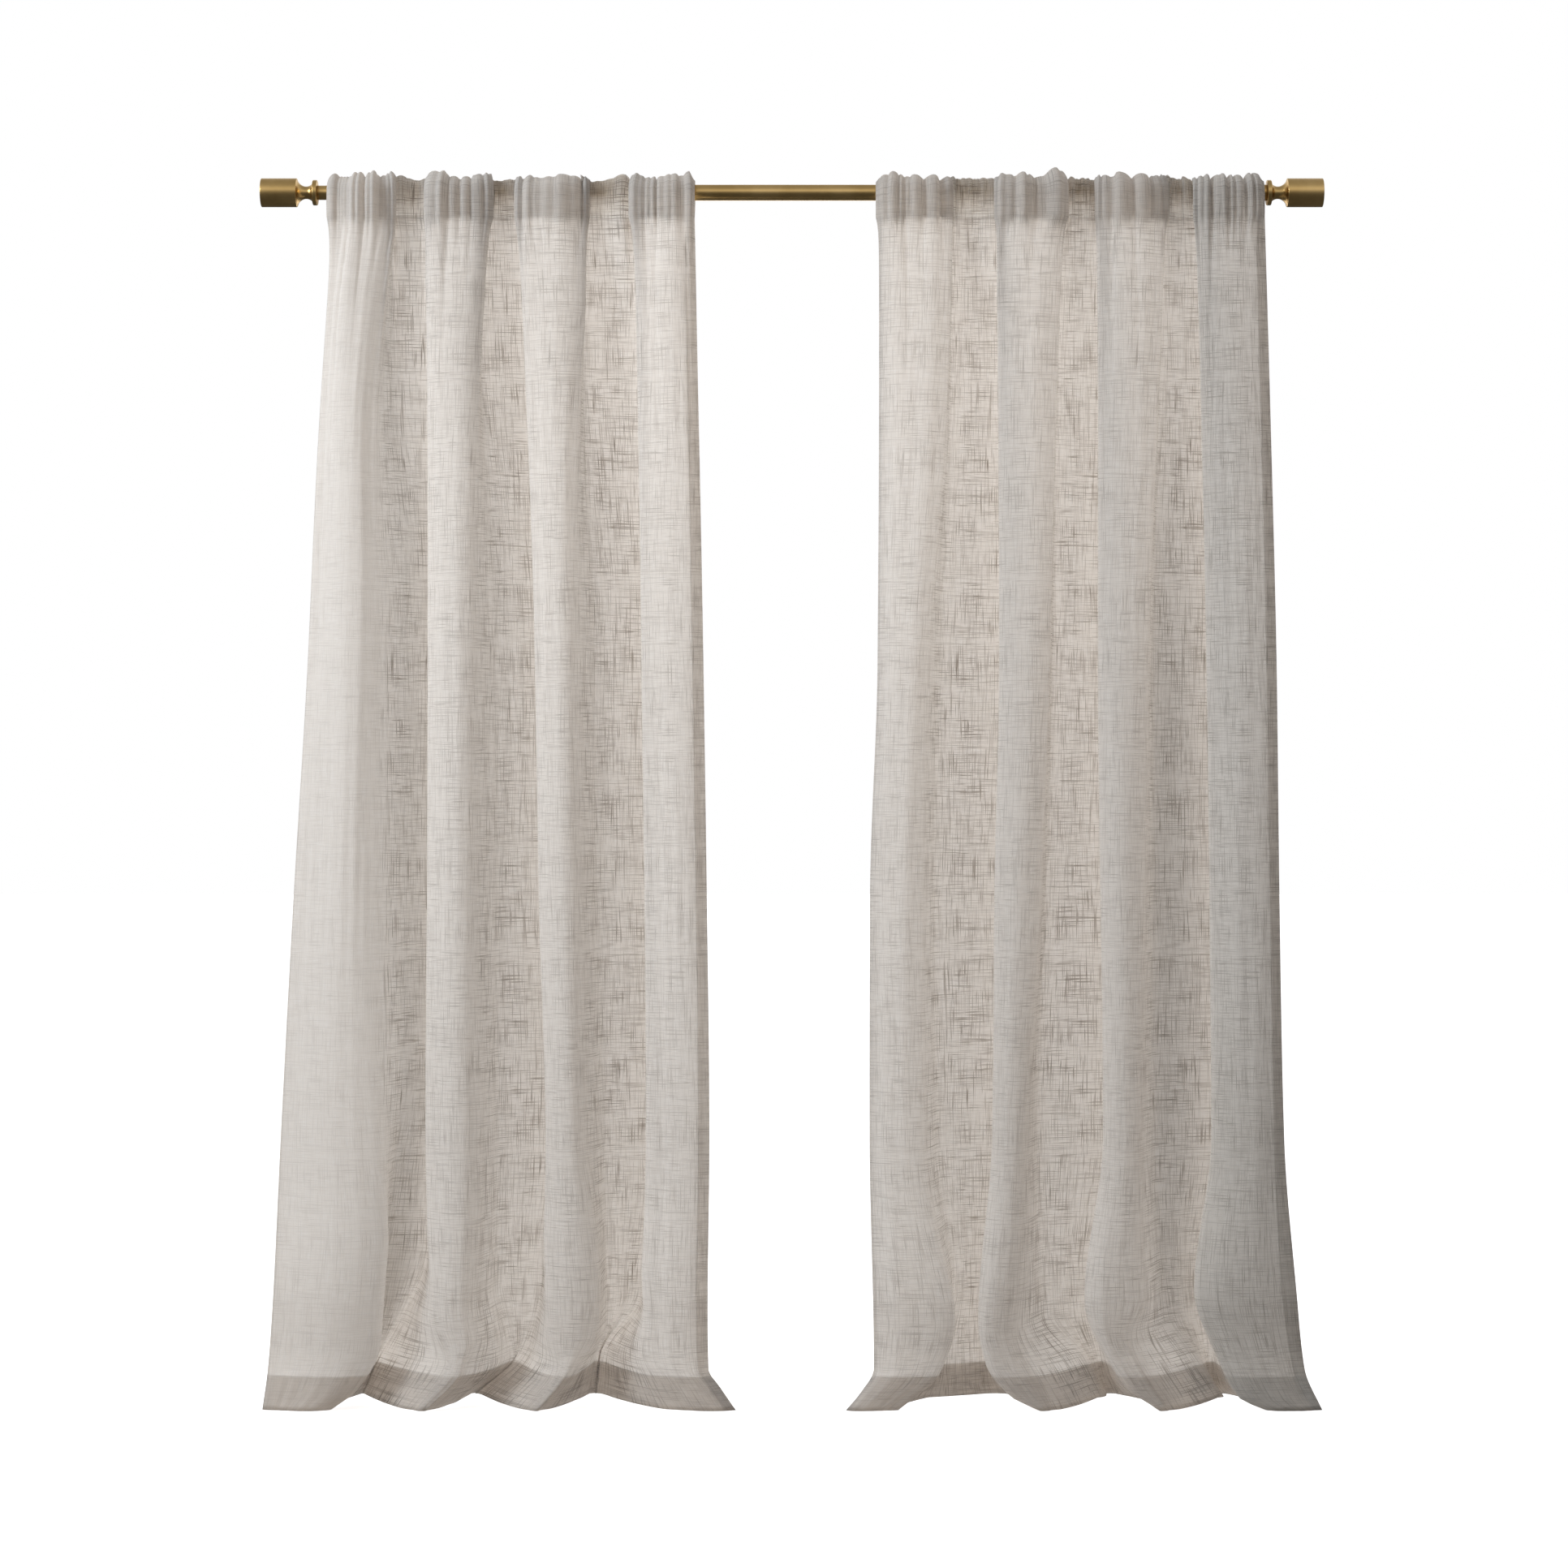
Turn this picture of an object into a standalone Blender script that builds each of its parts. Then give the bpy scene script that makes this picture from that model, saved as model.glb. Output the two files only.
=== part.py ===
"""Pair of rod-pocket curtain panels on a telescoping rod held by two wall brackets.

Frame: metres. X runs along the rod, -Y faces the room, +Z is up and Z = 0 is the floor.
Y = 0 is the plane of the rod's axis, and X = 0 is midway between the finial tips.
"""
import math

import bmesh
import bpy
from mathutils import Matrix, Vector

# Clearance that every pair of touching pieces keeps.
GAP = 0.0003
# Chamfers, and how far one joined shape reaches into the next.
FINE_EDGE = 0.0006
EDGE = 0.001
JOINED = 0.001

# Rod: the right-hand tube is the fat one, and the left-hand tube slides inside it.
ROD_Z = 2.116
COLLAR_X = 0.829
OUTER_TUBE_R = 0.014
INNER_TUBE_R = 0.0125
TUBE_WALL = 0.0011
TUBE_LENGTH = 1.17
BUSHING_LENGTH = 0.020
BUSHING_WALL = 0.0015
BUSHING_FLANGE = 0.0025
PLUG_DEPTH = 0.022
STUD_R = 0.003
STUD_IN_PLUG = 0.012
STUD_IN_FINIAL = 0.012

# Finial: ring collar, hollowed neck, plain cylinder.
FINIAL_R = 0.025
FINIAL_CORNER = 0.0009
TIP_EDGE = 0.0012
TIP_FACE_INSET = 0.006
COLLAR_R = 0.022
COLLAR_EDGE = 0.0015
COLLAR_LENGTH = 0.008
NECK_R = 0.0108
NECK_LENGTH = 0.027
NECK_STEPS = 8
NECK_LEAN = 0.82
NECK_FULLNESS = 0.62
CYLINDER_LENGTH = 0.063

# Wall bracket, the same on both sides apart from the tube that its cradle fits.
BRACKET_X = 0.770
WALL_Y = 0.110
CRADLE_WALL = 0.003
CRADLE_LENGTH = 0.014
CRADLE_LIP = 0.002
ARM_R = 0.006
ARM_DROP = 0.010
PLATE_R = 0.029
PLATE_THICKNESS = 0.005
HUB_R = 0.0105
HUB_LENGTH = 0.010
ARM_IN_HUB = 0.011
WALL_SCREW_OFFSET = 0.020
WALL_SCREW_R = 0.0021
WALL_SCREW_HEAD_R = 0.0041
WALL_SCREW_FLAT_R = 0.0029
WALL_SCREW_CROWN = 0.0011
ROSETTE_R = 0.033
ROSETTE_DEPTH = 0.019
ROSETTE_WALL = 0.0012
ROSETTE_SKIRT = 0.006
ROSETTE_COLLAR_WALL = 0.003
ROSETTE_COLLAR_LENGTH = 0.005
ROSETTE_STEPS = 5
BOSS_R = 0.0045
BOSS_LENGTH = 0.007
BOSS_DROP = 0.0008
SCREW_HOLE_START = 0.004
CUTTER_REACH = 0.002
BORE_LENGTH = 0.050
THUMBSCREW_R = 0.0024
THUMBSCREW_HEAD_R = 0.0065
THUMBSCREW_HEAD = 0.007
THUMBSCREW_RIDGES = 14
RIDGE_DEPTH = 0.0007

# Curtain panel: one cloth in four fold bundles, each with its stretch of the rod pocket.
FOLDS = 4
SPANS_PER_FOLD = 6
CLOTH = 0.002
POCKET_R = 0.0206
POCKET_LOW_Z = ROD_Z - 0.0315
SEAM_DROP = 0.016
BUNDLE_GAP = 0.0008
FLOOR_FRONT_Y = -0.110
FLOOR_WAVE = 0.069
WAVE_POWER = 0.6
HEM_LEVELS = (0.0, 0.30, 0.75, 1.20, 1.60, 1.90)
LEFT_HEADER = (-0.810, -0.170)
LEFT_FLOOR = (-0.925, -0.115)
RIGHT_HEADER = (0.8275, 0.153)
RIGHT_FLOOR = (0.925, 0.110)
SLIT_HALF = 0.020
SLIT_LOW_Z = 2.030
SLIT_HEADROOM = 0.003
SLIT_BACK_Y = 0.040

ROUND_SEGMENTS = 32
SMALL_SEGMENTS = 20
SHARP_ANGLE = math.radians(35)

BRASS = ((0.60, 0.43, 0.20, 1.0), 0.32, 1.0)
STEEL = ((0.62, 0.61, 0.60, 1.0), 0.35, 1.0)
PLASTIC = ((0.30, 0.27, 0.24, 1.0), 0.55, 0.0)
LINEN = ((0.74, 0.70, 0.65, 1.0), 0.90, 0.0)


def clear_scene():
    for item in list(bpy.data.objects):
        bpy.data.objects.remove(item, do_unlink=True)


def add_material(item, look):
    colour, roughness, metallic = look
    surface = bpy.data.materials.new(item.name + "_finish")
    surface.use_nodes = True
    shader = surface.node_tree.nodes["Principled BSDF"]
    shader.inputs["Base Color"].default_value = colour
    shader.inputs["Roughness"].default_value = roughness
    shader.inputs["Metallic"].default_value = metallic
    surface.diffuse_color = colour
    item.data.materials.append(surface)


def add_object(name, body, look, smooth=True):
    """Turn a bmesh into a named object with outward faces and its own material."""
    bmesh.ops.recalc_face_normals(body, faces=body.faces)
    mesh = bpy.data.meshes.new(name)
    body.to_mesh(mesh)
    body.free()
    if smooth:
        mesh.shade_smooth()
        mesh.set_sharp_from_angle(angle=SHARP_ANGLE)
    item = bpy.data.objects.new(name, mesh)
    bpy.context.scene.collection.objects.link(item)
    add_material(item, look)
    return item


def add_tool(name, body, parent):
    """A shape that only cuts or joins, left out of the model itself."""
    bmesh.ops.recalc_face_normals(body, faces=body.faces)
    mesh = bpy.data.meshes.new(name)
    body.to_mesh(mesh)
    body.free()
    item = bpy.data.objects.new(name, mesh)
    bpy.context.scene.collection.objects.link(item)
    item.hide_render = True
    item.display_type = "WIRE"
    item.parent = parent
    return item


def combine(item, tool, operation):
    modifier = item.modifiers.new(tool.name, "BOOLEAN")
    modifier.operation = operation
    modifier.solver = "EXACT"
    modifier.object = tool


def add_anchor(name, location, rotation=(0.0, 0.0, 0.0), parent=None):
    empty = bpy.data.objects.new(name, None)
    empty.location = location
    empty.rotation_euler = rotation
    empty.parent = parent
    bpy.context.scene.collection.objects.link(empty)
    return empty


def turn(body, profile, segments, closed=False):
    """Turn a profile of (radius, height) points about Z. A radius of 0 closes an end with a single point."""
    rings = []
    for radius, height in profile:
        if radius == 0.0:
            rings.append([body.verts.new((0.0, 0.0, height))])
            continue
        angles = [2.0 * math.pi * step / segments for step in range(segments)]
        ring = [body.verts.new((radius * math.cos(a), radius * math.sin(a), height)) for a in angles]
        rings.append(ring)
    pairs = list(zip(rings, rings[1:]))
    if closed:
        pairs.append((rings[-1], rings[0]))
    for low, high in pairs:
        for step in range(segments):
            after = (step + 1) % segments
            corners = [low[step % len(low)], low[after % len(low)]]
            corners += [high[after % len(high)], high[step % len(high)]]
            body.faces.new(list(dict.fromkeys(corners)))


def turned(profile, segments, closed=False):
    body = bmesh.new()
    turn(body, profile, segments, closed)
    return body


def box(low, high):
    body = bmesh.new()
    bmesh.ops.create_cube(body, size=1.0)
    size = Vector(high) - Vector(low)
    middle = (Vector(high) + Vector(low)) / 2
    body.transform(Matrix.Translation(middle) @ Matrix.Diagonal((*size, 1.0)))
    return body


def arc(centre, radius, start, end, steps):
    """Points (radius, height) along a circular arc, both ends included; angles in degrees."""
    points = []
    for step in range(steps + 1):
        angle = math.radians(start + (end - start) * step / steps)
        points.append((centre[0] + radius * math.cos(angle), centre[1] + radius * math.sin(angle)))
    return points


def tube_profile(radius, wall, length):
    inside = radius - wall
    return [(inside, 0.0), (radius, 0.0), (radius, length), (inside, length)]


def finial_profile():
    """From the bottom of the stud's hole, over the collar's face, along the outside to the tip."""
    hole_r = STUD_R + GAP
    hole_end = STUD_IN_FINIAL + GAP
    neck_start = COLLAR_LENGTH
    neck_end = COLLAR_LENGTH + NECK_LENGTH
    tip = neck_end + CYLINDER_LENGTH
    points = [(0.0, hole_end), (hole_r, hole_end), (hole_r, 0.0)]
    rim_in = COLLAR_R - COLLAR_EDGE
    points += [(rim_in, 0.0), (COLLAR_R, COLLAR_EDGE), (COLLAR_R, neck_start - COLLAR_EDGE)]
    for step in range(NECK_STEPS + 1):
        share = step / NECK_STEPS
        rim = rim_in + (FINIAL_R - FINIAL_CORNER - rim_in) * share
        scoop = math.sin(math.pi * share ** NECK_LEAN) ** NECK_FULLNESS
        points.append((rim + (NECK_R - rim) * scoop, neck_start + NECK_LENGTH * share))
    points += [(FINIAL_R, neck_end + FINIAL_CORNER), (FINIAL_R, tip - TIP_EDGE - FINE_EDGE)]
    points += [(FINIAL_R - TIP_EDGE, tip - FINE_EDGE), (FINIAL_R - TIP_FACE_INSET, tip), (0.0, tip)]
    return points


def add_rod_end(side, tube_r, direction, parent):
    """Plug, stud and finial at one end of the rod. The anchor's Z points out along the rod."""
    tilt = math.copysign(math.pi / 2, direction)
    end = add_anchor(side + "_rod_end", (direction * COLLAR_X, 0.0, ROD_Z), (0.0, tilt, 0.0), parent)
    bore_r = tube_r - TUBE_WALL - GAP
    hole_r = STUD_R + GAP
    stud_hole = STUD_IN_PLUG + GAP
    plug_profile = [
        (0.0, -PLUG_DEPTH),
        (bore_r - EDGE, -PLUG_DEPTH),
        (bore_r, -PLUG_DEPTH + 2 * EDGE),
        (bore_r, -GAP),
        (hole_r, -GAP),
        (hole_r, -stud_hole),
        (0.0, -stud_hole),
    ]
    plug = add_object(side + "_end_plug", turned(plug_profile, SMALL_SEGMENTS), PLASTIC)
    stud_profile = [
        (0.0, -STUD_IN_PLUG),
        (STUD_R - FINE_EDGE, -STUD_IN_PLUG),
        (STUD_R, -STUD_IN_PLUG + FINE_EDGE),
        (STUD_R, STUD_IN_FINIAL - FINE_EDGE),
        (STUD_R - FINE_EDGE, STUD_IN_FINIAL),
        (0.0, STUD_IN_FINIAL),
    ]
    stud = add_object(side + "_finial_stud", turned(stud_profile, SMALL_SEGMENTS), STEEL)
    finial = add_object(side + "_finial", turned(finial_profile(), ROUND_SEGMENTS), BRASS)
    for item in (plug, stud, finial):
        item.parent = end


def add_rod(parent):
    """The two tubes, the bushing on the inner tube's hidden end, and what screws into each end."""
    inner_end = COLLAR_X - GAP
    outer_profile = tube_profile(OUTER_TUBE_R, TUBE_WALL, TUBE_LENGTH)
    outer = add_object("outer_tube", turned(outer_profile, ROUND_SEGMENTS, True), BRASS)
    outer.location = (inner_end - TUBE_LENGTH, 0.0, ROD_Z)
    inner_profile = tube_profile(INNER_TUBE_R, TUBE_WALL, TUBE_LENGTH)
    inner = add_object("inner_tube", turned(inner_profile, ROUND_SEGMENTS, True), BRASS)
    inner.location = (-inner_end, 0.0, ROD_Z)
    skirt = INNER_TUBE_R - TUBE_WALL - GAP
    bushing_profile = [
        (skirt - BUSHING_WALL, -BUSHING_LENGTH),
        (skirt, -BUSHING_LENGTH),
        (skirt, GAP),
        (INNER_TUBE_R, GAP),
        (INNER_TUBE_R, BUSHING_FLANGE),
        (skirt - BUSHING_WALL, BUSHING_FLANGE),
    ]
    bushing = add_object("glide_bushing", turned(bushing_profile, ROUND_SEGMENTS, True), PLASTIC)
    bushing.location = (TUBE_LENGTH - inner_end, 0.0, ROD_Z)
    for item in (outer, inner, bushing):
        item.rotation_euler = (0.0, math.pi / 2, 0.0)
        item.parent = parent
    add_rod_end("left", INNER_TUBE_R, -1.0, parent)
    add_rod_end("right", OUTER_TUBE_R, 1.0, parent)


def cradle_body(inner_r, outer_r):
    """Half ring under the rod with short upright lips, drawn in Y and Z and extruded along X."""
    outline = [(-outer_r, CRADLE_LIP)]
    outline += arc((0.0, 0.0), outer_r, 180.0, 360.0, 16)
    outline += [(outer_r, CRADLE_LIP), (inner_r, CRADLE_LIP)]
    outline += arc((0.0, 0.0), inner_r, 360.0, 180.0, 16)
    outline += [(-inner_r, CRADLE_LIP)]
    body = bmesh.new()
    corners = [body.verts.new((-CRADLE_LENGTH / 2, y, z)) for y, z in outline]
    face = body.faces.new(corners)
    made = bmesh.ops.extrude_face_region(body, geom=[face])["geom"]
    moved = [item for item in made if isinstance(item, bmesh.types.BMVert)]
    bmesh.ops.translate(body, verts=moved, vec=(CRADLE_LENGTH, 0.0, 0.0))
    return body


def add_bracket_arm(side, tube_r, root):
    """Round arm from the wall hub to the cradle, with the thumbscrew's boss under the cradle."""
    inner_r = tube_r + GAP
    outer_r = inner_r + CRADLE_WALL
    arm = add_object(side + "_bracket_arm", cradle_body(inner_r, outer_r), BRASS)
    arm.parent = root
    bar_start = inner_r + JOINED
    bar_length = WALL_Y - PLATE_THICKNESS - GAP - bar_start
    bar_profile = [(0.0, 0.0), (ARM_R, 0.0), (ARM_R, bar_length), (0.0, bar_length)]
    bar = add_tool(side + "_arm_bar", turned(bar_profile, SMALL_SEGMENTS), root)
    bar.location = (0.0, bar_start, -ARM_DROP)
    bar.rotation_euler = (-math.pi / 2, 0.0, 0.0)
    combine(arm, bar, "UNION")
    boss_profile = [(0.0, 0.0), (BOSS_R, 0.0), (BOSS_R, BOSS_LENGTH), (0.0, BOSS_LENGTH)]
    boss = add_tool(side + "_screw_boss", turned(boss_profile, SMALL_SEGMENTS), root)
    boss.location = (0.0, 0.0, -inner_r - BOSS_LENGTH - BOSS_DROP)
    combine(arm, boss, "UNION")
    hole_r = THUMBSCREW_R + GAP
    hole_length = BOSS_LENGTH + 2 * SCREW_HOLE_START
    hole_profile = [(0.0, 0.0), (hole_r, 0.0), (hole_r, hole_length), (0.0, hole_length)]
    hole = add_tool(side + "_screw_hole", turned(hole_profile, SMALL_SEGMENTS), root)
    hole.location = (0.0, 0.0, boss.location.z - SCREW_HOLE_START)
    combine(arm, hole, "DIFFERENCE")
    bore_profile = [(0.0, 0.0), (inner_r, 0.0), (inner_r, BORE_LENGTH), (0.0, BORE_LENGTH)]
    bore = add_tool(side + "_cradle_bore", turned(bore_profile, ROUND_SEGMENTS), root)
    bore.location = (-BORE_LENGTH / 2, 0.0, 0.0)
    bore.rotation_euler = (0.0, math.pi / 2, 0.0)
    combine(arm, bore, "DIFFERENCE")
    add_thumbscrew(side, tube_r, boss.location.z, root)


def add_thumbscrew(side, tube_r, boss_z, root):
    """Ridged head under the boss and a plain stem up to just below the tube."""
    body = bmesh.new()
    stem_top = -tube_r - 2 * GAP
    head_top = boss_z - GAP
    head_low = head_top - THUMBSCREW_HEAD
    steps = 2 * THUMBSCREW_RIDGES
    rings = []
    for height in (head_low, head_top):
        ring = []
        for step in range(steps):
            radius = THUMBSCREW_HEAD_R - RIDGE_DEPTH * (step % 2)
            angle = 2.0 * math.pi * step / steps
            ring.append(body.verts.new((radius * math.cos(angle), radius * math.sin(angle), height)))
        rings.append(ring)
        body.faces.new(ring)
    for step in range(steps):
        after = (step + 1) % steps
        body.faces.new((rings[0][step], rings[0][after], rings[1][after], rings[1][step]))
    screw = add_object(side + "_thumbscrew", body, BRASS)
    screw.parent = root
    stem_profile = [
        (0.0, head_top - JOINED),
        (THUMBSCREW_R, head_top - JOINED),
        (THUMBSCREW_R, stem_top - FINE_EDGE),
        (THUMBSCREW_R - FINE_EDGE, stem_top),
        (0.0, stem_top),
    ]
    stem = add_tool(side + "_thumbscrew_stem", turned(stem_profile, SMALL_SEGMENTS), root)
    combine(screw, stem, "UNION")


def add_wall_plate(side, root):
    """Disc against the wall with a hub that receives the arm, and two countersunk screws."""
    plate_profile = [
        (0.0, 0.0),
        (PLATE_R, 0.0),
        (PLATE_R, PLATE_THICKNESS - EDGE),
        (PLATE_R - EDGE, PLATE_THICKNESS),
        (HUB_R, PLATE_THICKNESS),
        (HUB_R, PLATE_THICKNESS + HUB_LENGTH),
        (ARM_R + GAP, PLATE_THICKNESS + HUB_LENGTH),
        (ARM_R + GAP, PLATE_THICKNESS),
        (0.0, PLATE_THICKNESS),
    ]
    seat = add_anchor(side + "_wall_seat", (0.0, WALL_Y, -ARM_DROP), (math.pi / 2, 0.0, 0.0), root)
    plate = add_object(side + "_wall_plate", turned(plate_profile, ROUND_SEGMENTS), STEEL)
    plate.parent = seat
    hole_r = WALL_SCREW_R + GAP
    sink_r = WALL_SCREW_HEAD_R + GAP
    sink_z = PLATE_THICKNESS - (sink_r - hole_r)
    hole_profile = [
        (0.0, -CUTTER_REACH),
        (hole_r, -CUTTER_REACH),
        (hole_r, sink_z),
        (sink_r, PLATE_THICKNESS),
        (sink_r, PLATE_THICKNESS + CUTTER_REACH),
        (0.0, PLATE_THICKNESS + CUTTER_REACH),
    ]
    head_z = PLATE_THICKNESS - (WALL_SCREW_HEAD_R - WALL_SCREW_R)
    screw_profile = [
        (0.0, 0.0),
        (WALL_SCREW_R, 0.0),
        (WALL_SCREW_R, head_z),
        (WALL_SCREW_HEAD_R, PLATE_THICKNESS),
        (WALL_SCREW_FLAT_R, PLATE_THICKNESS + FINE_EDGE),
        (0.0, PLATE_THICKNESS + WALL_SCREW_CROWN),
    ]
    for place, offset in (("upper", WALL_SCREW_OFFSET), ("lower", -WALL_SCREW_OFFSET)):
        hole = add_tool(side + "_hole_" + place, turned(hole_profile, SMALL_SEGMENTS), seat)
        hole.location = (0.0, offset, 0.0)
        combine(plate, hole, "DIFFERENCE")
        screw = add_object(side + "_wall_screw_" + place, turned(screw_profile, SMALL_SEGMENTS), STEEL)
        screw.parent = seat
        screw.location = (0.0, offset, 0.0)


def add_rosette(side, root):
    """Domed cover that slides along the arm and hides the plate and its screws."""
    seat = add_anchor(side + "_rosette_seat", (0.0, WALL_Y, -ARM_DROP), (math.pi / 2, 0.0, 0.0), root)
    collar_r = ARM_R + GAP
    collar_out = collar_r + ROSETTE_COLLAR_WALL
    lip_in = ROSETTE_R - ROSETTE_WALL
    dome = ROSETTE_DEPTH - ROSETTE_SKIRT
    outside = [(ROSETTE_R, 0.0), (ROSETTE_R, ROSETTE_SKIRT)]
    inside = [(lip_in, 0.0), (lip_in, ROSETTE_SKIRT)]
    for step in range(1, ROSETTE_STEPS + 1):
        angle = math.pi / 2 * step / ROSETTE_STEPS
        rise = ROSETTE_SKIRT + math.sin(angle) * dome
        outside.append((collar_out + (ROSETTE_R - collar_out) * math.cos(angle), rise))
        rise_in = ROSETTE_SKIRT + math.sin(angle) * (dome - ROSETTE_WALL)
        inside.append((collar_out + (lip_in - collar_out) * math.cos(angle), rise_in))
    collar_end = ROSETTE_DEPTH + ROSETTE_COLLAR_LENGTH
    outside += [(collar_out, collar_end), (collar_r, collar_end)]
    inside += [(collar_r, ROSETTE_DEPTH - ROSETTE_WALL)]
    profile = outside + inside[::-1]
    rosette = add_object(side + "_rosette", turned(profile, ROUND_SEGMENTS, True), BRASS)
    rosette.parent = seat


def add_bracket(side, direction, tube_r):
    root = add_anchor(side + "_bracket", (direction * BRACKET_X, 0.0, ROD_Z))
    add_bracket_arm(side, tube_r, root)
    add_wall_plate(side, root)
    add_rosette(side, root)


def cloth_x(header, floor, share, height):
    """Place across the panel, from its outer edge (share 0) to its leading edge (share 1)."""
    fall = max(0.0, 1.0 - height / POCKET_LOW_Z)
    outer = header[0] + (floor[0] - header[0]) * fall
    leading = header[1] + (floor[1] - header[1]) * fall
    return outer + (leading - outer) * share


def cloth_y(share, height):
    """Middle of the cloth below the pocket: flat at the seam, four crests towards the room at the floor."""
    fall = max(0.0, 1.0 - height / (POCKET_LOW_Z - SEAM_DROP))
    grow = fall ** WAVE_POWER
    hang_y = CLOTH / 2 - POCKET_R
    floor_y = FLOOR_FRONT_Y + CLOTH / 2 + FLOOR_WAVE
    wave = math.cos(2.0 * math.pi * FOLDS * share)
    return hang_y + (floor_y - hang_y) * grow + FLOOR_WAVE * grow * wave


def pocket_loop(radius):
    """(y, z) points up the front of the pocket, over the rod, down the back and forward under it."""
    loop = [(-radius, POCKET_LOW_Z)]
    loop += arc((0.0, ROD_Z), radius, 180.0, 0.0, 8)
    loop += arc((0.0, POCKET_LOW_Z), radius, 0.0, -135.0, 3)
    return loop


def fold_section(share):
    """Front and back of the hanging cloth, bottom first, then the pocket's outside and inside."""
    seam_z = POCKET_LOW_Z - SEAM_DROP
    heights = list(HEM_LEVELS) + [seam_z]
    front = [(cloth_y(share, z) - CLOTH / 2, z) for z in heights]
    back = [(cloth_y(share, z) + CLOTH / 2, z) for z in heights]
    return front, back, pocket_loop(POCKET_R), pocket_loop(POCKET_R - CLOTH)


def add_wall(body, near, far):
    """Join two closed loops with triangles, each split from its lower near corner to its upper far one.

    The front and the back of the cloth then bend along the same lines, so that they never cross.
    """
    for step in range(len(near)):
        after = (step + 1) % len(near)
        if near[after].co.z >= near[step].co.z:
            body.faces.new((near[step], near[after], far[after]))
            body.faces.new((near[step], far[after], far[step]))
        else:
            body.faces.new((near[step], near[after], far[step]))
            body.faces.new((near[after], far[after], far[step]))


def fold_body(header, floor, start, end):
    """One bundle of cloth between two shares of the panel's width, as a single closed solid."""
    body = bmesh.new()
    stations = []
    for step in range(SPANS_PER_FOLD + 1):
        share = start + (end - start) * step / SPANS_PER_FOLD
        parts = []
        for points in fold_section(share):
            parts.append([body.verts.new((cloth_x(header, floor, share, z), y, z)) for y, z in points])
        stations.append(parts)
    for here, there in zip(stations, stations[1:]):
        loops = []
        for front, back, outside, inside in (here, there):
            loops.append((front + outside + back[::-1], inside))
        for near, far in zip(*loops):
            add_wall(body, near, far)
    for front, back, outside, inside in (stations[0], stations[-1]):
        for step in range(len(front) - 1):
            body.faces.new((front[step], front[step + 1], back[step + 1], back[step]))
        for step in range(len(outside) - 1):
            body.faces.new((outside[step], outside[step + 1], inside[step + 1], inside[step]))
        body.faces.new((front[-1], outside[0], inside[0], inside[-1], outside[-1], back[-1]))
    return body


def add_panel(side, header, floor, direction):
    """Four bundles. The outer one has a slit at the back of its pocket for the bracket's arm."""
    width = abs(header[1] - header[0])
    trim = BUNDLE_GAP / 2 / width
    for fold in range(FOLDS):
        start = fold / FOLDS + (trim if fold else 0.0)
        end = (fold + 1) / FOLDS - (trim if fold < FOLDS - 1 else 0.0)
        name = f"{side}_panel_fold_{fold + 1}"
        low_x_first = (start, end) if direction < 0 else (end, start)
        bundle = add_object(name, fold_body(header, floor, *low_x_first), LINEN)
        if fold == 0:
            low = (direction * BRACKET_X - SLIT_HALF, -POCKET_R + CLOTH + GAP, SLIT_LOW_Z)
            high = (direction * BRACKET_X + SLIT_HALF, SLIT_BACK_Y, ROD_Z + SLIT_HEADROOM)
            slit = add_tool(side + "_bracket_slit", box(low, high), None)
            combine(bundle, slit, "DIFFERENCE")


def main():
    clear_scene()
    rod = add_anchor("rod_axis", (0.0, 0.0, 0.0))
    add_rod(rod)
    add_bracket("left", -1.0, INNER_TUBE_R)
    add_bracket("right", 1.0, OUTER_TUBE_R)
    add_panel("left", LEFT_HEADER, LEFT_FLOOR, -1.0)
    add_panel("right", RIGHT_HEADER, RIGHT_FLOOR, 1.0)


main()
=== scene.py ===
"""Rod-pocket linen-look curtains on a brass rod: visible surfaces, camera and light around the frame."""

import math

import bmesh
import bpy
import numpy as np
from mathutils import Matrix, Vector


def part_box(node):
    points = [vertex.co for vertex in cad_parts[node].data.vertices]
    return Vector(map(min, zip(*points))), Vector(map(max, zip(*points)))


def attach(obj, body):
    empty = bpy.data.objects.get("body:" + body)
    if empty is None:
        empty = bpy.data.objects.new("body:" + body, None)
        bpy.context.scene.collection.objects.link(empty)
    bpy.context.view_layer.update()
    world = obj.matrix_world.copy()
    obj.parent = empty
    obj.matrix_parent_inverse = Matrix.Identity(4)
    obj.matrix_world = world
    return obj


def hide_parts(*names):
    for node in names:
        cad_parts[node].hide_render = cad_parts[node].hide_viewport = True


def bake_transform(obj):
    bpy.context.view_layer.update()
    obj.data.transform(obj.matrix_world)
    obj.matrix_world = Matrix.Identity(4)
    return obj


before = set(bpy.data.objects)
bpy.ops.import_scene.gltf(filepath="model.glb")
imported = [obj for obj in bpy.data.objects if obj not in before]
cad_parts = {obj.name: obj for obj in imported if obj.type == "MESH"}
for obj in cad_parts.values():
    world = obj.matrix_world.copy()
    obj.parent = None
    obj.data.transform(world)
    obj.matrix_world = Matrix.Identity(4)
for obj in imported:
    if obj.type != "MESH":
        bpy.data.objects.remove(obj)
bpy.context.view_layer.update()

# ---- Places read from the frame ----------------------------------------------------------------
TUBE_LOW, TUBE_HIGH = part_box("outer_tube")
ROD_Z = (TUBE_LOW[2] + TUBE_HIGH[2]) / 2
ROD_R = (TUBE_HIGH[2] - TUBE_LOW[2]) / 2
BRACKET_X = {}
for side in ("left", "right"):
    arm_low, arm_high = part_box(side + "_bracket_arm")
    BRACKET_X[side] = (arm_low[0] + arm_high[0]) / 2

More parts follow.
